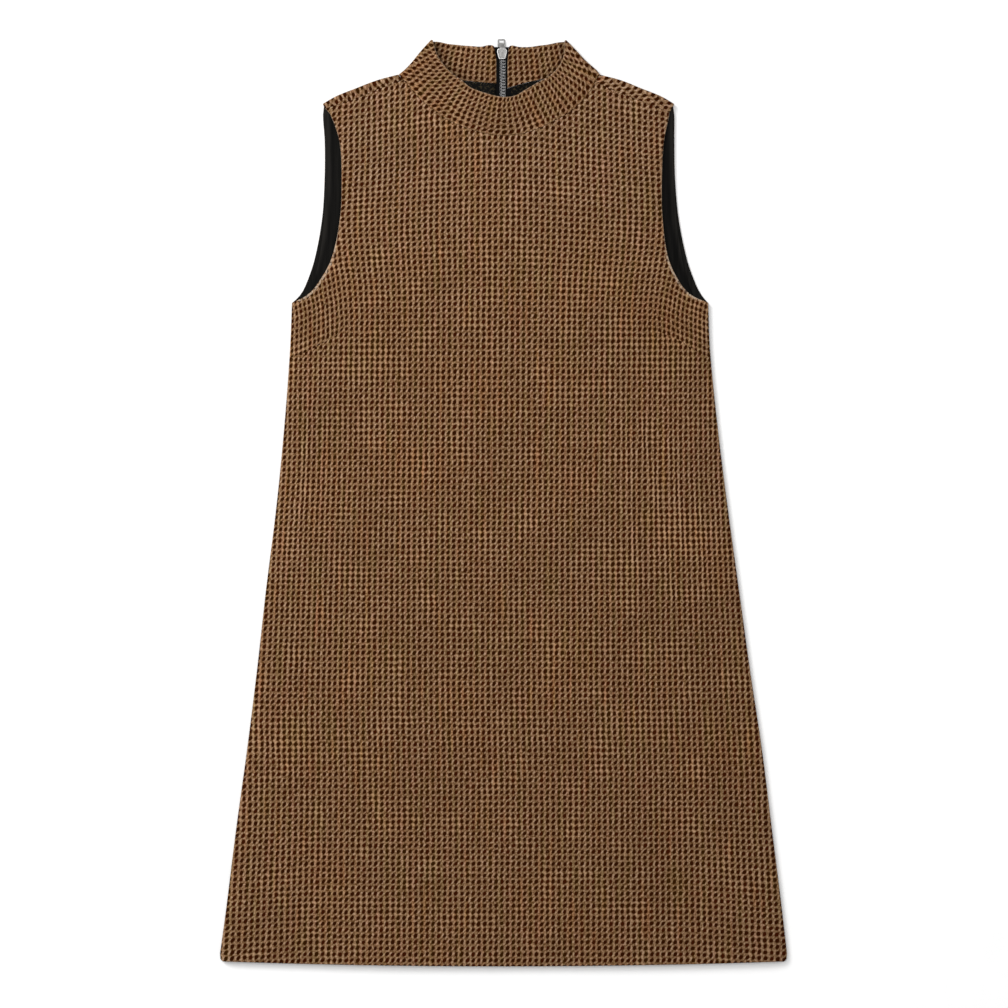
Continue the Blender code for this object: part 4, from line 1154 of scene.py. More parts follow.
def satin(name):
    """Black lining with a fine close weave and soft streaks."""
    n = Nodes(name)
    flat = n.uv()
    mm = n.vec("MULTIPLY", flat, (1000.0, 1000.0, 0.0))
    x, y, _ = n.split(mm)
    weave = n.math("SINE", n.math("MULTIPLY", n.math("ADD", x, n.math("MULTIPLY", y, 0.45)), 2 * math.pi / 0.55))
    streak = n.noise(n.vec("MULTIPLY", flat, (300.0, 14.0, 0.0)), 1.0, 3.0, 0.6, "2D").outputs["Fac"]
    fine = n.noise(n.vec("MULTIPLY", flat, (1800.0, 1800.0, 0.0)), 1.0, 2.0, 0.6, "2D").outputs["Fac"]
    level = n.math("ADD", n.range(streak, 0.30, 0.70, 0.45, 1.0), n.math("MULTIPLY", weave, 0.08), clamp=True)
    level = n.math("MULTIPLY", level, n.attribute("ridge"))
    colour = n.mix(level, (0.0012, 0.0012, 0.0012), (0.0150, 0.0136, 0.0120))
    # near the neck a few threads of the tweed's colours lie on it
    y_up = n.split(n.uv())[1]
    lint = n.noise(n.vec("MULTIPLY", flat, (420.0, 420.0, 0.0)), 1.0, 2.0, 0.6, "2D").outputs["Fac"]
    lint = n.math("MULTIPLY", n.range(lint, 0.54, 0.66), n.range(y_up, 0.385, 0.405))
    colour = n.mix(n.math("MULTIPLY", lint, 0.40), colour, (0.060, 0.046, 0.022))
    n.set(n.bsdf.inputs["Base Color"], colour)
    n.set(n.bsdf.inputs["Roughness"], n.range(fine, 0.3, 0.7, 0.42, 0.55))
    n.bsdf.inputs["Specular IOR Level"].default_value = 0.025
    bump_node = n.add("ShaderNodeBump")
    bump_node.inputs["Strength"].default_value = 0.25
    bump_node.inputs["Distance"].default_value = 0.00012
    n.set(bump_node.inputs["Height"], n.math("ADD", weave, n.math("MULTIPLY", fine, 1.5)))
    n.set(n.bsdf.inputs["Normal"], bump_node.outputs[0])
    return n.mat


def tape_weave(name):
    """Black woven zip tape: fine ribs along it in a herringbone."""
    n = Nodes(name)
    mm = n.vec("MULTIPLY", n.uv(), (1000.0, 1000.0, 0.0))
    x, y, _ = n.split(mm)
    zig = n.math("ABSOLUTE", n.math("SUBTRACT", n.math("FRACT", n.math("DIVIDE", x, 1.6)), 0.5))
    rib = n.math("SINE", n.math("MULTIPLY", n.math("ADD", y, n.math("MULTIPLY", zig, 1.5)), 2 * math.pi / 0.7))
    fine = n.noise(n.vec("MULTIPLY", n.uv(), (2500.0, 2500.0, 0.0)), 1.0, 2.0, 0.6, "2D").outputs["Fac"]
    level = n.math("ADD", n.range(rib, -1.0, 1.0, 0.0, 0.6), n.math("MULTIPLY", fine, 0.5), clamp=True)
    n.set(n.bsdf.inputs["Base Color"], n.mix(level, (0.0025, 0.0025, 0.0028), (0.0085, 0.0085, 0.0090)))
    n.set(n.bsdf.inputs["Roughness"], n.range(fine, 0.2, 0.8, 0.7, 0.9))
    n.bsdf.inputs["Specular IOR Level"].default_value = 0.0
    bump_node = n.add("ShaderNodeBump")
    bump_node.inputs["Strength"].default_value = 0.5
    bump_node.inputs["Distance"].default_value = 0.00025
    n.set(bump_node.inputs["Height"], rib)
    n.set(n.bsdf.inputs["Normal"], bump_node.outputs[0])
    return n.mat


def metal(name, light=(0.62, 0.61, 0.59), dark=(0.36, 0.35, 0.34), rough=(0.24, 0.42)):
    """Plated metal, a little worn."""
    n = Nodes(name)
    place = n.add("ShaderNodeTexCoord").outputs["Object"]
    worn = n.noise(place, 900.0, 3.0, 0.6).outputs["Fac"]
    fine = n.noise(place, 6000.0, 2.0, 0.6).outputs["Fac"]
    n.set(n.bsdf.inputs["Base Color"], n.mix(n.range(worn, 0.35, 0.7, 0.0, 0.6), light, dark))
    n.set(n.bsdf.inputs["Roughness"], n.range(fine, 0.3, 0.7, *rough))
    n.bsdf.inputs["Metallic"].default_value = 1.0
    bump_node = n.add("ShaderNodeBump")
    bump_node.inputs["Strength"].default_value = 0.2
    bump_node.inputs["Distance"].default_value = 0.00008
    n.set(bump_node.inputs["Height"], worn)
    n.set(n.bsdf.inputs["Normal"], bump_node.outputs[0])
    return n.mat


tweed_mat = tweed("tweed_check")
lining_mat = satin("black_lining")
tape_mat = tape_weave("zip_tape_weave")
teeth_mat = metal("zip_teeth_metal", (0.37, 0.37, 0.37), (0.10, 0.10, 0.10), (0.40, 0.60))
# dark metal for the teeth's bodies and heads: painted shade, and some oxide
teeth_dark_mat = metal("zip_teeth_recess", (0.011, 0.011, 0.011), (0.004, 0.004, 0.004), (0.50, 0.70))
slider_mat = metal("zip_slider_metal", (0.29, 0.286, 0.278), (0.15, 0.147, 0.143), (0.42, 0.60))
# a lighter copy of the slider's metal: painted highlight on its rim
slider_highlight_mat = metal("zip_slider_rim_highlight", (0.63, 0.625, 0.615), (0.36, 0.356, 0.350), (0.34, 0.50))
# a darker copy of the slider's metal: painted shade on sides and recesses
slider_shade_mat = metal("zip_slider_shade", (0.20, 0.197, 0.193), (0.10, 0.098, 0.096), (0.45, 0.65))


# ---- cloth pieces ----
FINE = (0.0, 0.12, 0.4, 0.8, 1.4, 2.6)
SEWN = (0.0, 0.05, 0.15, 0.35, 0.8, 2.0)
SEW = 0.12  # a sewn edge is rolled less than a free one


def with_fine(values, centre, offsets):
    """Steps with some near a value put in, evenly spaced ones next to it left out."""
    low, high = centre + offsets[0], centre + offsets[-1]
    pad = (high - low) * 0.12
    return sorted([v for v in values if not low - pad < v < high + pad] + [centre + o for o in offsets])


front_us = mm_steps(410.0, 136)
rise_mm = ARMPIT - LOW
low_vs = mm_steps(rise_mm, 116, FINE, (0.0, 4.5))
low_vs = with_fine(low_vs, DART_V, [k / rise_mm for k in (-4.0, -2.2, -1.3, -0.75, -0.35, 0.0, 0.35, 0.75, 1.3, 2.2, 4.0)])
low_vs = with_fine(low_vs, 37.0 / rise_mm, [k / rise_mm for k in (-6.0, -4.5, -3.0, -1.5, 0.0, 1.5, 3.0, 4.5, 6.0)])
front_vs = low_vs[:-1] + [1 + v for v in mm_steps(190.0, 42, (0.0, 4.5), SEWN)]


def front_uv(p, u, v, side, above):
    x, y = front_grain(p[0], p[1], above)
    return (x if side == 0 else -x), y


def front_bake(p, u, v, side, above):
    x, y = p[0] + 285.0, p[1] + 465.0
    if side == 0:
        return 0.004 + x * 0.00111, 0.004 + y * 0.00111
    return 0.642 + x * 0.00062, 0.004 + y * 0.00062


def front_turn(x, y, v):
    turned = dart_turn(x, y) * (1.0 if x < 0 else 0.75) if v > DART_V else 0.0
    return turned if turned > 0.05 else -max(
        high * smooth(1.6 * (1 - math.hypot((x - cx) / wide, (y - cy) / long))) for cx, cy, wide, long, high in BUCKLES
    )


front = shell(
    "front_cloth", front_us, front_vs, front_place, CLOTH, front_uv, [lining_mat, tweed_mat], front_bake,
    relief=lambda x, y, u, v: front_relief(x, y) * smooth(min(u, 1 - u) * 410.0 / 9.0) * smooth((2 - v) * 190.0 / 16.0),
    rolls=(None, None, None, SEW), split=DART_V,
    lined=lambda side, x, y, v, far: side == 1 and far > 2.0 and y - hem_y(x) > 38.0,
    # the painted highlight on the crests of the folds
    ridge=lambda x, y, far, u, v, layer: max(0.0, front_ridge(x, y)) * smooth(far / 8.0),
    # painted highlight along the armhole edges, wider towards the armpits
    lit=lambda k, u, v: (0.4 + 2.3 * smooth((1.42 - v) / 0.16)) if k < 2 and v > 1.0 else 0.0,
    turn=lambda x, y, v: front_turn(x, y, v),
)
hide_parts("front_panel")

for side, word in ((-1, "left"), (1, "right")):
    a = BACK_NECK / BACK_COLS
    us_neck = [u * a for u in mm_steps(105.0, 34, FINE, (0.0, 0.12, 0.4, 0.8, 1.4, 3.0))]
    us_out = [a + u * (1 - a) for u in mm_steps(82.0, 26, (0.0, 0.12, 0.4, 0.8, 1.4, 3.0), FINE)]
    us = us_neck[:-1] + us_out
    vs = mm_steps(rise_mm, 100, FINE, (0.0, 5.0))[:-1]
    vs += [1 + v for v in mm_steps(200.0, 36, (0.0, 5.0), (0.0, 0.12, 0.4, 0.8, 1.4, 3.0))][:-1]
    vs += [2 + k / 8 for k in range(8)] + [3 + v for v in mm_steps(8.0, 5, (0.0, 1.0), (0.0, 0.05, 0.15, 0.35, 0.8))]

    def keep(u, v, limit=a - 1e-9):
        return v <= 2.0 + 1e-9 or u >= limit

    def back_bake(p, u, v, face, above, s=side):
        x, y = p[3] * s + 20.0, p[4] + 465.0
        return (0.004 if face == 0 else 0.504) + x * 0.00105, 0.004 + y * 0.00105

    back = shell(
        f"back_cloth_{word}", us, vs, lambda u, v, s=side: back_place(s, u, v), CLOTH,
        lambda p, u, v, face, above: ((p[3] if face == 0 else -p[3]) + 1.3, p[4] - 2.0),
        [lining_mat, tweed_mat], back_bake, keep=keep, outer=1.0 if side > 0 else -1.0,
        relief=lambda x, y, u, v: (back_relief(x, y) * smooth(u * 200.0 / 25.0) * smooth((1 - u) * 200.0 / 9.0) if v < 1.0 else 0.0),
        rolls=(None, None, None, SEW),
        lined=lambda face, x, y, v, far: face == 0 and v < 2.7 and y - hem_y(x) > 38.0,
        # the ridge number, fixed: it sets the lining's lightness, and paints a crease highlight on the tweed inside the
        # hem
        ridge=lambda x, y, far, u, v, layer: 0.6 if v < 2.7 and layer == 0 else 0.0,
    )
    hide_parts(f"back_panel_{word}")

# collar: one band from the zip round the neck and back to the zip
c_us = []
for first, count, steps in (
    (0, C_BACK, mm_steps(98.0, 26, FINE, (0.0, 3.0))),
    (C_BACK, C_FOLD, [k / 12 for k in range(13)]),
    (C_BACK + C_FOLD, C_FRONT, [k / 96 for k in range(97)]),
    (C_BACK + C_FOLD + C_FRONT, C_FOLD, [k / 12 for k in range(13)]),
    (C_BACK + 2 * C_FOLD + C_FRONT, C_BACK, mm_steps(98.0, 26, (0.0, 3.0), FINE)),
):
    c_us += [first + s * count for s in steps[:-1]]
c_us.append(float(C_ALL))
c_vs = mm_steps(36.0, 14, SEWN, FINE)

collar_run = [0.0]
for p, q in zip(c_us, c_us[1:]):
    collar_run.append(collar_run[-1] + math.dist(collar_point(p, 0.5), collar_point(q, 0.5)))
collar_at = dict(zip(c_us, collar_run))
COLLAR_ROUND = 2.6  # the band's end corners are rounded off


def corner_drop(ends):
    """How far the band's top is lower near its ends."""
    if ends >= COLLAR_ROUND:
        return 0.0
    return COLLAR_ROUND - math.sqrt(COLLAR_ROUND**2 - (COLLAR_ROUND - max(ends, 0.0)) ** 2)


# how much higher the band's top is than its plain line, by x, mm
BAND_TOP = [
    (-76.0, 2.8), (-66.0, 2.7), (-55.0, 0.6), (-45.0, 0.7), (-32.0, 1.2), (-22.0, 0.5), (-13.0, 2.4), (-7.0, 2.6),
    (5.0, 1.9), (10.0, 0.9), (17.0, 0.2), (27.0, 0.1), (36.0, 0.9), (46.0, 1.0), (56.0, 2.2), (66.0, 2.7), (80.0, 2.3),
]


# how far the folds at the band's sides are drawn over, by height up the band, mm
FOLD_IN = {
    -1: [(0.0, 0.0), (0.15, 2.0), (0.36, 2.7), (0.6, 2.2), (0.8, 2.1), (1.0, 2.4)],
    1: [(0.0, 0.0), (0.1, 0.8), (0.2, 0.0), (0.35, -1.7), (0.5, -2.3), (0.7, -2.3), (1.0, -2.7)],
}


def band_end(side, v):
    """The x of the band's end at the zip."""
    return SPINE_L - 2.0 * smooth((v - 0.60) / 0.40) if side < 0 else SPINE_R - 0.9 + 1.1 * smooth((v - 0.60) / 0.40)


def collar_place(i, v):
    x, y, z = collar_point(i, v)
    k = min(i, C_ALL - i)
    side = -1 if i < C_ALL / 2 else 1
    rise = table(BAND_TOP, x if k <= C_BACK else side * 76.0, 1)
    if k > C_BACK + C_FOLD:
        rise *= smooth(1 - (k - C_BACK - C_FOLD) / 1.6)
    y += rise * v
    x += table(FOLD_IN[side], v, 1) * smooth(1 - abs(k - C_BACK - C_FOLD / 2) / 4.2)
    if k < 2:
        start = SPINE_L if side < 0 else SPINE_R
        x += (band_end(side, v) - start) * smooth(1 - k / 2)
        y -= corner_drop(abs(x - band_end(side, v))) * max(0.0, v - 0.35) / 0.65
    return x, y, z


def collar_relief(x, y, i, v):
    """A little fullness along the band, and the pull of the seam at its lower edge."""
    s = collar_at[i]
    wave = 0.22 * math.sin(s / 17.0) * math.sin(s / 41.0 + 1.0) * math.sin(math.pi * v)
    return wave - 0.2 * math.sin(math.pi * v)


def collar_bake(p, i, v, side, above):
    return 0.01 + collar_at[i] * 0.0023, (0.1 if side == 0 else 0.3) + v * 37.0 * 0.0023


# the band's middle line in front, evened out, with the run along it
BAND_MID = [collar_point(C_BACK + C_FOLD + k * C_FRONT / 72, 0.5)[:2] for k in range(73)]
BAND_MID = [
    tuple(sum(BAND_MID[min(max(k + d, 0), 72)][c] + BAND_MID[min(max(k - d, 0), 72)][c] for d in range(min(k, 72 - k, 5) + 1)) / (2 * (min(k, 72 - k, 5) + 1)) for c in (0, 1))
    for k in range(73)
]
BAND_RUN = [0.0]
for p, q in zip(BAND_MID, BAND_MID[1:]):
    BAND_RUN.append(BAND_RUN[-1] + math.dist(p, q))
BAND_U, BAND_V = PITCH_U / 5.42, PITCH_V / 5.40


@lru_cache(None)
def band_flat(x, y):
    """Run along the band's middle line from its middle, and the distance above it."""
    best = (1e9, 0.0, 0.0)
    for k in range(72):
        (ax, ay), (bx, by) = BAND_MID[k], BAND_MID[k + 1]
        dx, dy = bx - ax, by - ay
        length = math.hypot(dx, dy)
        t = ((x - ax) * dx + (y - ay) * dy) / length**2
        c = min(max(t, 0.0 if k else -9.0), 1.0 if k < 71 else 9.0)
        d = math.hypot(x - ax - dx * c, y - ay - dy * c)
        if d < best[0]:
            best = (d, BAND_RUN[k] + c * length, ((y - ay) * dx - (x - ax) * dy) / length)
    return best[1] - BAND_RUN[-1] / 2, best[2]


def collar_uv(p, i, v, side, above):
    """The outside's grain runs round with the band; the inside's bends up to the folds."""
    k = min(i, C_ALL - i)
    hand = -1 if i < C_ALL / 2 else 1
    if side == 0 and k < C_BACK + 1:
        dx, dy = p[0] + 0.5, 437.0 + 270.0 - p[1]
        s, t = 270.0 * math.atan2(dx, dy), 270.0 - math.hypot(dx, dy)
        return s * BAND_U + 4.0, t * BAND_V + 3.4
    if k >= C_BACK + C_FOLD:
        s, t = band_flat(p[0], p[1])
    else:  # on round the fold
        last = C_BACK + C_FOLD if hand < 0 else C_ALL - C_BACK - C_FOLD
        x, y, _ = collar_place(float(last), v)
        s, t = band_flat(x, y)
        s += hand * abs(collar_at[i] - collar_at[float(last)])
    return s * BAND_U * (1 if side == 1 else -1) + 1.6, t * BAND_V + 0.6


BAND_EDGE = [collar_place(C_BACK + C_FOLD + k * C_FRONT / 36, 1.0)[:2] for k in range(37)]


def collar_shade(x, y, far, u, v, layer):
    """Inside, the band is in shade next to its front."""
    k = min(u, C_ALL - u)
    if layer == 1 or k >= C_BACK + 0.5:
        return 0.0
    d = min(segment(x, y, a, b)[1] for a, b in zip(BAND_EDGE, BAND_EDGE[1:]))
    return -(0.52 if x < 0 else 0.36) * math.exp(-((d / (9.0 if x < 0 else 6.0)) ** 1.5)) * smooth((k + 0.3) / 1.0)


collar = shell(
    "collar_cloth", c_us, c_vs, collar_place, COLLAR, collar_uv,
    tweed_mat, collar_bake, relief=collar_relief, outer=-1.0, rolls=(None, None, SEW, None),
    # painted shade inside the band next to its front, and a weaker painted highlight along the front's top edge
    ridge=collar_shade, edge_highlight_offset=0.85, lit=lambda k, i, v: 2.0 if k == 3 and C_BACK + C_FOLD / 2 < i < C_ALL - C_BACK - C_FOLD / 2 else 0.0,
)
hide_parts("collar")

def lining_painted_light(side, x, y, v):
    """Painted light and shade on the lining: lightest at the armhole's outer edge, a painted highlight along a fold 13
    mm in, darker further in.
    """
    if v <= 1.0:
        return 0.5
    d = abs(x - back_arm(side, min(1.0, v - 1.0))[0])
    outer = smooth(1 - (d - 4.0) / 4.0)
    fold = math.exp(-(((d - 13.0) / 2.2) ** 2))
    return (1.0 * outer + 0.30 + 0.30 * fold) if side < 0 else (0.75 * outer + 0.18 + 0.2 * fold)


for side, word in ((-1, "left"), (1, "right")):
    us = mm_steps(190.0, 60, (0.0, 0.1, 0.3, 0.6, 1.2), (0.0, 0.1, 0.3, 0.6, 1.2))
    vs = mm_steps(50.0, 12, (0.0, 0.1, 0.3, 0.6, 1.2), (0.0, 3.0))[:-1]
    vs += [1 + v for v in mm_steps(215.0, 66, (0.0, 3.0), (0.0, 0.1, 0.3, 0.6, 1.2))]

    def lining_relief(x, y, u, v, s=side):
        if v <= 1.0:
            return 0.0
        ex, ey = back_arm(s, min(1.0, v - 1.0))
        d = abs(x - ex)
        w = smooth((v - 1.12) / 0.15)
        ridge = 0.30 * math.exp(-(((d - 9.5) / 1.0) ** 2)) - 0.2 * math.exp(-(((d - 11.3) / 1.1) ** 2))
        wave = 0.12 * math.sin(y / 13.0 + d / 6.0) * smooth(d / 4.0)
        return (ridge + wave) * w

    lining = shell(
        f"lining_{word}", us, vs, lambda u, v, s=side: lining_place(s, u, v), LINING,
        lambda p, u, v, face, above: (p[0], p[1]), lining_mat,
        lambda p, u, v, face, above, s=side: ((0.01 if face == 0 else 0.51) + (p[0] * s + 2.0) * 0.0022, 0.05 + (p[1] - 100.0) * 0.0022),
        relief=lining_relief, outer=1.0 if side > 0 else -1.0, 
        # painted light and shade on the lining
        ridge=lambda x, y, far, u, v, layer, s=side: lining_painted_light(s, x, y, v),
    )
    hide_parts(f"back_lining_{word}")

# zip tapes
for side, word in ((-1, "left"), (1, "right")):
    limit = 416.1 if side > 0 else 420.6
    ys = [-45.0, -44.9, -44.6, -44.2, -43.4]
    ys += list(np.linspace(-40.0, limit - 3.0, 96)) + [limit - 2.0, limit - 1.9, limit]
    ys += list(np.linspace(limit + 2.0, 449.0, 14)) + [450.0, 451.0, 452.0, 452.8, 453.6, 454.2, 454.8, 455.2, 455.4, 455.5]

    def tape_place(u, y, s=side, lim=limit):
        near = ZIP_X + s * (CHAIN_W / 2 + 0.1)
        wide = TAPE_HALF
        if y > lim - 1.95:  # between the band's ends, and into its rounded corners
            v = min(1.0, (y - 419.0) / 36.6) if s < 0 else min(1.0, (y - 414.8) / 41.0)
            d = min(max(0.0, 456.3 - y), COLLAR_ROUND)
            wide = abs(band_end(s, v) - ZIP_X) - 0.12 + COLLAR_ROUND - math.sqrt(COLLAR_ROUND**2 - (COLLAR_ROUND - d) ** 2)
        far = ZIP_X + s * wide
        return near + (far - near) * u, y, zip_mid(y)

    tape = shell(
        f"zip_tape_weave_{word}", [0.0, 0.02, 0.06, 0.14, 0.3, 0.5, 0.7, 0.86, 0.94, 0.98, 1.0], ys,
        tape_place, TAPE, lambda p, u, v, face, above: (p[0], p[1]), tape_mat,
        lambda p, u, v, face, above, s=side: ((0.1 if face == 0 else 0.5) + (p[0] - ZIP_X) * s * 0.0019, 0.01 + (p[1] + 46.0) * 0.0019),
        relief=lambda x, y, u, v: 0.25 * math.exp(-((u / 0.1) ** 2)), outer=1.0 if side > 0 else -1.0,
    )
    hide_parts(f"zip_tape_{word}")


# ---- metal parts ----
def mesh_piece(name, points, faces, mats, body="garment", sharp=40.0, slots=None):
    mesh = bpy.data.meshes.new(name)
    mesh.from_pydata([tuple(c * MM for c in p) for p in points], [], faces)
    for m in mats:
        mesh.materials.append(m)
    if slots is not None:
        mesh.polygons.foreach_set("material_index", np.array(slots, np.int32))
    mesh.shade_smooth()
    mesh.set_sharp_from_angle(angle=math.radians(sharp))
    obj = bpy.data.objects.new(name, mesh)
    bpy.context.scene.collection.objects.link(obj)
    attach(obj, body)
    return obj


def prism(points, faces, outline, z, thick, chamfer):
    """A chamfered plate added to lists of points and faces; outline turns anticlockwise."""
    n = len(outline)
    inner = inset_ring(outline, chamfer)
    base = len(points)
    for level, ring in ((-thick / 2, inner), (-thick / 2 + chamfer, outline), (thick / 2 - chamfer, outline), (thick / 2, inner)):
        points.extend((x, y, z + level) for x, y in ring)
    for ring in range(3):
        for k in range(n):
            a, b = base + ring * n + k, base + ring * n + (k + 1) % n
            faces.append((a, b, b + n, a + n))
    faces.append(tuple(base + k for k in reversed(range(n))))
    faces.append(tuple(base + 3 * n + k for k in range(n)))


def inset_ring(outline, by):
    """The outline moved inwards; it turns anticlockwise."""
    n = len(outline)
    out = []
    for k in range(n):
        (px, py), (x, y), (qx, qy) = outline[k - 1], outline[k], outline[(k + 1) % n]
        ax, ay = unit(x - px, y - py)
        bx, by_ = unit(qx - x, qy - y)
        nx, ny = unit(-(ay + by_), ax + bx)
        reach = by / max(0.5, nx * -ay + ny * ax)
        out.append((x + nx * reach, y + ny * reach))
    return out


def rounded(points, radius, steps=3):
    out = []
    n = len(points)
    for k in range(n):
        p, a, b = points[k], points[k - 1], points[(k + 1) % n]
        ua, ub = unit(a[0] - p[0], a[1] - p[1]), unit(b[0] - p[0], b[1] - p[1])
        cut = min(radius, math.dist(p, a) * 0.45, math.dist(p, b) * 0.45)
        for s in range(steps + 1):
            w = s / steps
            qa = (p[0] + ua[0] * cut * (1 - w), p[1] + ua[1] * cut * (1 - w))
            qb = (p[0] + ub[0] * cut * w, p[1] + ub[1] * cut * w)
            out.append((qa[0] * (1 - w) + qb[0] * w, qa[1] * (1 - w) + qb[1] * w))
    return out


# teeth: one on each side in turn, each a body that grips its tape and a head that meets
# the other side's heads on the centre line
BODY = [(0.80, -0.56), (2.35, -0.62), (2.70, -0.40), (2.70, 0.40), (2.35, 0.62), (0.80, 0.56)]
HEAD = [(-0.35, -0.40), (0.35, -0.55), (1.00, -0.42), (1.00, 0.42), (0.35, 0.55), (-0.35, 0.40)]
# painted highlights, where the teeth's edges catch the light: on the left a bracket, on the right a bar
LIP = [(1.50, -0.75), (1.74, -0.75), (1.74, 0.75), (1.50, 0.75)]
BAR = [(-1.30, -0.27), (1.90, -0.27), (1.90, 0.27), (-1.30, 0.27)]
points, faces, slots = [], [], []
step, k, y = 1.45, 0, -41.4
while y < 449.0:
    s = -1 if k % 2 else 1
    z = zip_mid(y)
    # bodies and heads take the dark metal as painted shade, the lips and bars the bright one as painted highlights
    shapes = [(BODY, 0.0, 2.2, 0.22, 1), (HEAD, 0.0, 1.6, 0.12, 1)]
    if s < 0:
        shapes += [(LIP, 1.06, 0.30, 0.10, 0), (BAR, 0.95, 0.36, 0.10, 0)]
    else:
        shapes += [([(x - 0.30, yy * 0.7) for x, yy in LIP], 1.06, 0.30, 0.10, 0)]
    for shape, rise, thick, chamfer, slot in shapes:
        ring = [(ZIP_X + s * x, y + yy) for x, yy in shape]
        before = len(faces)
        prism(points, faces, ring if s > 0 else ring[::-1], z + rise, thick, chamfer)
        slots += [slot] * (len(faces) - before)
    y += step
    k += 1
teeth = mesh_piece("zip_teeth_row", points, faces, [teeth_mat, teeth_dark_mat], slots=slots)
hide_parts("zip_chain")

# bottom stop: a squared clamp over both rows, with two folds pressed in it
points, faces = [], []
prism(points, faces, rounded([(ZIP_X - 2.65, -45.2), (ZIP_X + 2.65, -45.2), (ZIP_X + 2.65, -42.45), (ZIP_X - 2.65, -42.45)], 0.6), zip_mid(-45.0), 2.7, 0.35)
for dx in (-1.3, 1.3):
    prism(points, faces, [(ZIP_X + dx - 0.5, -44.9), (ZIP_X + dx + 0.5, -44.9), (ZIP_X + dx + 0.5, -42.75), (ZIP_X + dx - 0.5, -42.75)], zip_mid(-45.0), 2.98, 0.2)
stop = mesh_piece("zip_stop", points, faces, [teeth_mat])
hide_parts("zip_bottom_stop")

SLIDER_OFF, TAB_OFF = 0.4, 1.2  # the slider sits a little left of the middle, its tab more so
# slider: an outer plate with the bridge for the tab, an inner plate with a raised rim and
# a ridge, the wedge that joins them and the side flanges
Y0, Y1 = 443.5, 454.0
slider_mid = zip_mid(448.4)
PLATE_T, PLATE_GAP = 0.9, 1.6
outline = rounded(
    [(-3.3, Y0), (3.3, Y0), (3.7, Y0 + 1.5), (4.9, Y0 + 6.2), (5.1, Y1 - 2.5), (4.0, Y1 - 0.2),
     (1.0, Y1), (-1.0, Y1), (-4.0, Y1 - 0.2), (-5.1, Y1 - 2.5), (-4.9, Y0 + 6.2), (-3.7, Y0 + 1.5)],
    0.8, 4,
)
points, faces, slots = [], [], []


def loft(rings, cap_low=True, cap_high=True):
    n = len(rings[0])
    base = len(points)
    for ring in rings:
        points.extend(ring)
    for r in range(len(rings) - 1):
        for q in range(n):
            a, b = base + r * n + q, base + r * n + (q + 1) % n
            faces.append((a, b, b + n, a + n))
    if cap_low:
        faces.append(tuple(base + q for q in reversed(range(n))))
    if cap_high:
        faces.append(tuple(base + (len(rings) - 1) * n + q for q in range(n)))


def level(ring, z):
    return [(ZIP_X + x, y, z) for x, y in ring]


low = slider_mid - PLATE_GAP - PLATE_T
loft([level(inset_ring(outline, 0.3), low), level(inset_ring(outline, 0.08), low + 0.1), level(outline, low + 0.3),
      level(outline, low + PLATE_T)])
high = slider_mid + PLATE_GAP
rings = [level(outline, high), level(outline, high + 0.55), level(inset_ring(outline, 0.12), high + 0.80),
         level(inset_ring(outline, 0.35), high + 0.90), level(inset_ring(outline, 0.75), high + 0.90),
         level(inset_ring(outline, 1.0), high + 0.62)]
field = inset_ring(outline, 1.25)
rings.append([(ZIP_X + x, y, high + 0.56) for x, y in field])
for share, rise in ((0.62, 0.57), (0.34, 0.60), (0.12, 0.63)):
    rings.append([(ZIP_X + x * share, 448.6 + (y - 448.6) * (share * 0.55 + 0.45), high + rise) for x, y in field])
loft(rings)
for s in (-1, 1):  # flanges
    side_ring = [(ZIP_X + s * x, y) for x, y in ((2.9, Y0 + 0.3), (3.3, Y0 + 0.9), (4.5, Y0 + 6.0), (4.6, Y1 - 3.0), (4.1, Y1 - 3.0), (4.0, Y0 + 6.0), (2.9, Y0 + 1.6))]
    if s < 0:
        side_ring = side_ring[::-1]
    prism(points, faces, side_ring, high - 0.30, 0.72, 0.05)
    prism(points, faces, side_ring, low + PLATE_T + 0.30, 0.72, 0.05)
wedge = [(-1.7, 453.3), (-0.6, 450.2), (0.6, 450.2), (1.7, 453.3)]
prism(points, faces, [(ZIP_X + x, y) for x, y in wedge], slider_mid, 2 * PLATE_GAP + 0.3, 0.05)
arch_top = slider_mid - PLATE_GAP - PLATE_T / 2
arch = [(-4.0, arch_top), (-4.0, 1.3), (-3.0, 0.2), (3.0, 0.2), (4.0, 1.3), (4.0, arch_top),
        (3.2, arch_top), (3.2, 1.6), (2.6, 1.0), (-2.6, 1.0), (-3.2, 1.6), (-3.2, arch_top)]
middle = (Y0 + Y1) / 2 + 0.3
base = len(points)
for x in (-1.1, 1.1):
    points.extend((ZIP_X + x, middle + yy, zz) for yy, zz in arch)
n = len(arch)
for q in range(n):
    a, b = base + q, base + (q + 1) % n
    faces.append((a, b, b + n, a + n))
for r in (0, 1):  # the arch's two sides, in quads between its outer and inner lines
    for q in range(5):
        quad = (base + r * n + q, base + r * n + q + 1, base + r * n + n - 2 - q, base + r * n + n - 1 - q)
        faces.append(quad if r == 0 else quad[::-1])
slots = []
for f in faces:  # painted highlight on the rim, painted shade on the sides and in the recess
    (ax, ay, az), (bx, by, bz), (cx, cy, cz) = (points[q] for q in f[:3])
    normal = np.cross((bx - ax, by - ay, bz - az), (cx - ax, cy - ay, cz - az))
    up = normal[2] / max(1e-9, float(np.linalg.norm(normal)))
    height = max(points[q][2] for q in f) - high
    slots.append(2 if up < 0.5 else (1 if height > 0.80 else 0))
points = [(x - SLIDER_OFF, y, z) for x, y, z in points]
slider = mesh_piece("zip_slider_body", points, faces, [slider_mat, slider_highlight_mat, slider_shade_mat], sharp=30.0, slots=slots)
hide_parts("zip_slider")

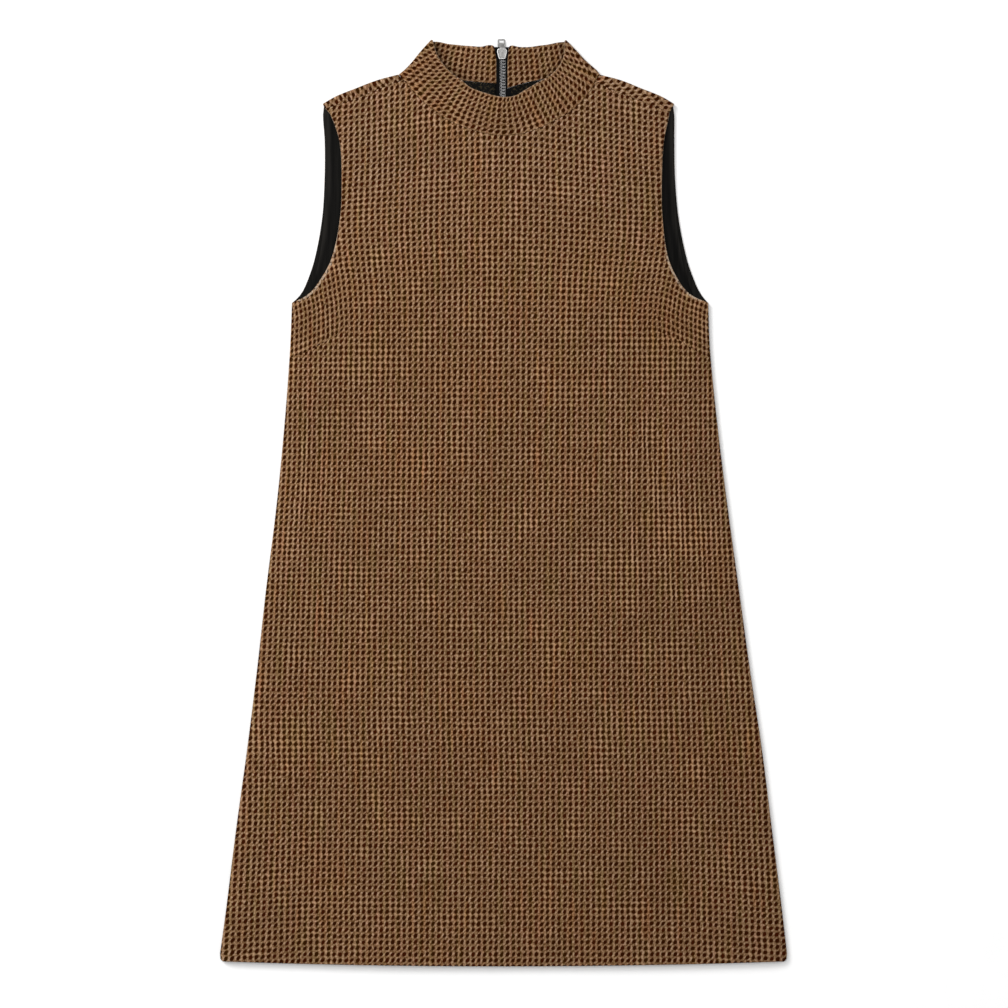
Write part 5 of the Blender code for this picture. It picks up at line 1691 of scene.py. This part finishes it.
# pull tab: its lower bar turns in the bridge; a raised frame round the plate and its hole
PULL_Y, PULL_Z, PULL_LONG, PULL_WIDE, PULL_T = 448.4, 1.88, 15.5, 7.5, 1.0
half = PULL_WIDE / 2
tab = rounded(
    [(-2.6, -0.5), (2.6, -0.5), (2.9, 1.6), (3.1, 5.6), (half, 8.0), (half, PULL_LONG),
     (-half, PULL_LONG), (-half, 8.0), (-3.1, 5.6), (-2.9, 1.6)],
    1.3, 4,
)
window = rounded([(-1.4, 0.5), (2.1, 0.5), (2.1, 6.2), (-1.4, 6.2)], 0.4, 2)
hole = rounded([(-2.65, 11.9), (2.65, 11.9), (2.65, 14.55), (0.5, 14.55), (0.0, 14.0), (-0.5, 14.55), (-2.65, 14.55)], 0.5, 2)
field = rounded([(-2.75, 7.6), (2.75, 7.6), (2.75, 10.3), (-2.75, 10.3)], 0.5, 2)


def plate(rings, thick, z, soft):
    """A flat plate with holes and softened edges, as points and faces."""
    curve = bpy.data.curves.new("plate", "CURVE")
    curve.dimensions, curve.fill_mode = "2D", "BOTH"
    curve.extrude = (thick / 2 - soft) * MM
    curve.bevel_depth, curve.bevel_resolution = soft * MM, 1
    for number, ring in enumerate(rings):
        ring = inset_ring(ring, soft if number == 0 else -soft)
        spline = curve.splines.new("POLY")
        spline.points.add(len(ring) - 1)
        for point, (x, y) in zip(spline.points, ring):
            point.co = (x * MM, y * MM, 0.0, 1.0)
        spline.use_cyclic_u = True
    rough = bpy.data.objects.new("plate", curve)
    bpy.context.scene.collection.objects.link(rough)
    bpy.context.view_layer.update()
    mesh = bpy.data.meshes.new_from_object(rough.evaluated_get(bpy.context.evaluated_depsgraph_get()))
    bm = bmesh.new()
    bm.from_mesh(mesh)
    bmesh.ops.remove_doubles(bm, verts=bm.verts, dist=0.00001)
    bmesh.ops.recalc_face_normals(bm, faces=bm.faces)
    bm.verts.index_update()
    found = [(v.co.x / MM, v.co.y / MM, v.co.z / MM + z) for v in bm.verts], [tuple(v.index for v in f.verts) for f in bm.faces]
    bm.free()
    bpy.data.objects.remove(rough)
    bpy.data.curves.remove(curve)
    bpy.data.meshes.remove(mesh)
    return found


# the tab's sunken field and its edges take the darker metal as painted shade
points, faces, slots = [], [], []
for rings, thick, slot in (([tab, window, hole], 0.66, 0), ([tab, window, hole, field], PULL_T, 1)):
    more, fs = plate(rings, thick, 0.0, 0.14)
    base = len(points)
    points += more
    for f in fs:
        normal = np.cross(np.subtract(more[f[1]], more[f[0]]), np.subtract(more[f[2]], more[f[0]]))
        flat_on = abs(normal[2]) / max(1e-9, float(np.linalg.norm(normal)))
        slots.append(slot if flat_on > 0.8 else 2)
        faces.append(tuple(base + q for q in f))
tilt = -math.asin((PULL_Z - PULL_T / 2) / PULL_LONG)
ct, st = math.cos(tilt), math.sin(tilt)
points = [(ZIP_X - TAB_OFF + x, PULL_Y + y * ct - z * st, PULL_Z + y * st + z * ct) for x, y, z in points]
pull = mesh_piece("zip_pull_tab", points, faces, [slider_shade_mat, slider_mat, slider_shade_mat], body="pull", sharp=35.0, slots=slots)
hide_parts("zip_pull")

# ---- floor, light, camera ----
floor_mesh = bpy.data.meshes.new("floor")
floor_mesh.from_pydata([(-4, -4, -0.0003), (4, -4, -0.0003), (4, 4, -0.0003), (-4, 4, -0.0003)], [], [(0, 1, 2, 3)])
floor = bpy.data.objects.new("floor", floor_mesh)
bpy.context.scene.collection.objects.link(floor)
ground = Nodes("pale_floor")
speck = ground.noise(ground.add("ShaderNodeTexCoord").outputs["Object"], 40.0, 2.0, 0.5).outputs["Fac"]
ground.set(ground.bsdf.inputs["Base Color"], ground.mix(ground.range(speck, 0.3, 0.7), (0.955, 0.955, 0.955), (0.965, 0.965, 0.965)))
ground.bsdf.inputs["Roughness"].default_value = 0.9
ground.bsdf.inputs["Specular IOR Level"].default_value = 0.0
floor_mesh.materials.append(ground.mat)

world = bpy.data.worlds.new("studio")
world.use_nodes = True
world.node_tree.nodes["Background"].inputs["Color"].default_value = (1.0, 1.0, 1.0, 1.0)
world.node_tree.nodes["Background"].inputs["Strength"].default_value = 0.45
bpy.context.scene.world = world


def lamp(name, place, size, power, target=(0, 0, 0)):
    light = bpy.data.lights.new(name, "AREA")
    light.shape, light.size, light.energy = "SQUARE", size, power
    o = bpy.data.objects.new(name, light)
    o.location = place
    from mathutils import Vector
    o.rotation_mode = "QUATERNION"
    o.rotation_quaternion = (Vector(place) - Vector(target)).to_track_quat("Z", "Y")
    bpy.context.scene.collection.objects.link(o)
    return o


lamp("key", (-3.0, 2.9, 3.2), 2.2, 184.0)
lamp("overhead", (-0.4, 0.6, 4.4), 2.4, 73.0)

camera_data = bpy.data.cameras.new("camera")
camera_data.sensor_width = 36.0
camera = bpy.data.objects.new("camera", camera_data)
HEIGHT = 5.0
camera.location = (0.0005, -0.0015, HEIGHT)
camera_data.lens = 36.0 * (HEIGHT - 0.006) / 1.008
camera_data.clip_start, camera_data.clip_end = 0.1, 50.0
bpy.context.scene.collection.objects.link(camera)
bpy.context.scene.camera = camera

scene = bpy.context.scene
scene.view_settings.view_transform = "Standard"
scene.view_settings.look = "None"
scene.view_settings.exposure = 0.0
scene.view_settings.gamma = 1.0
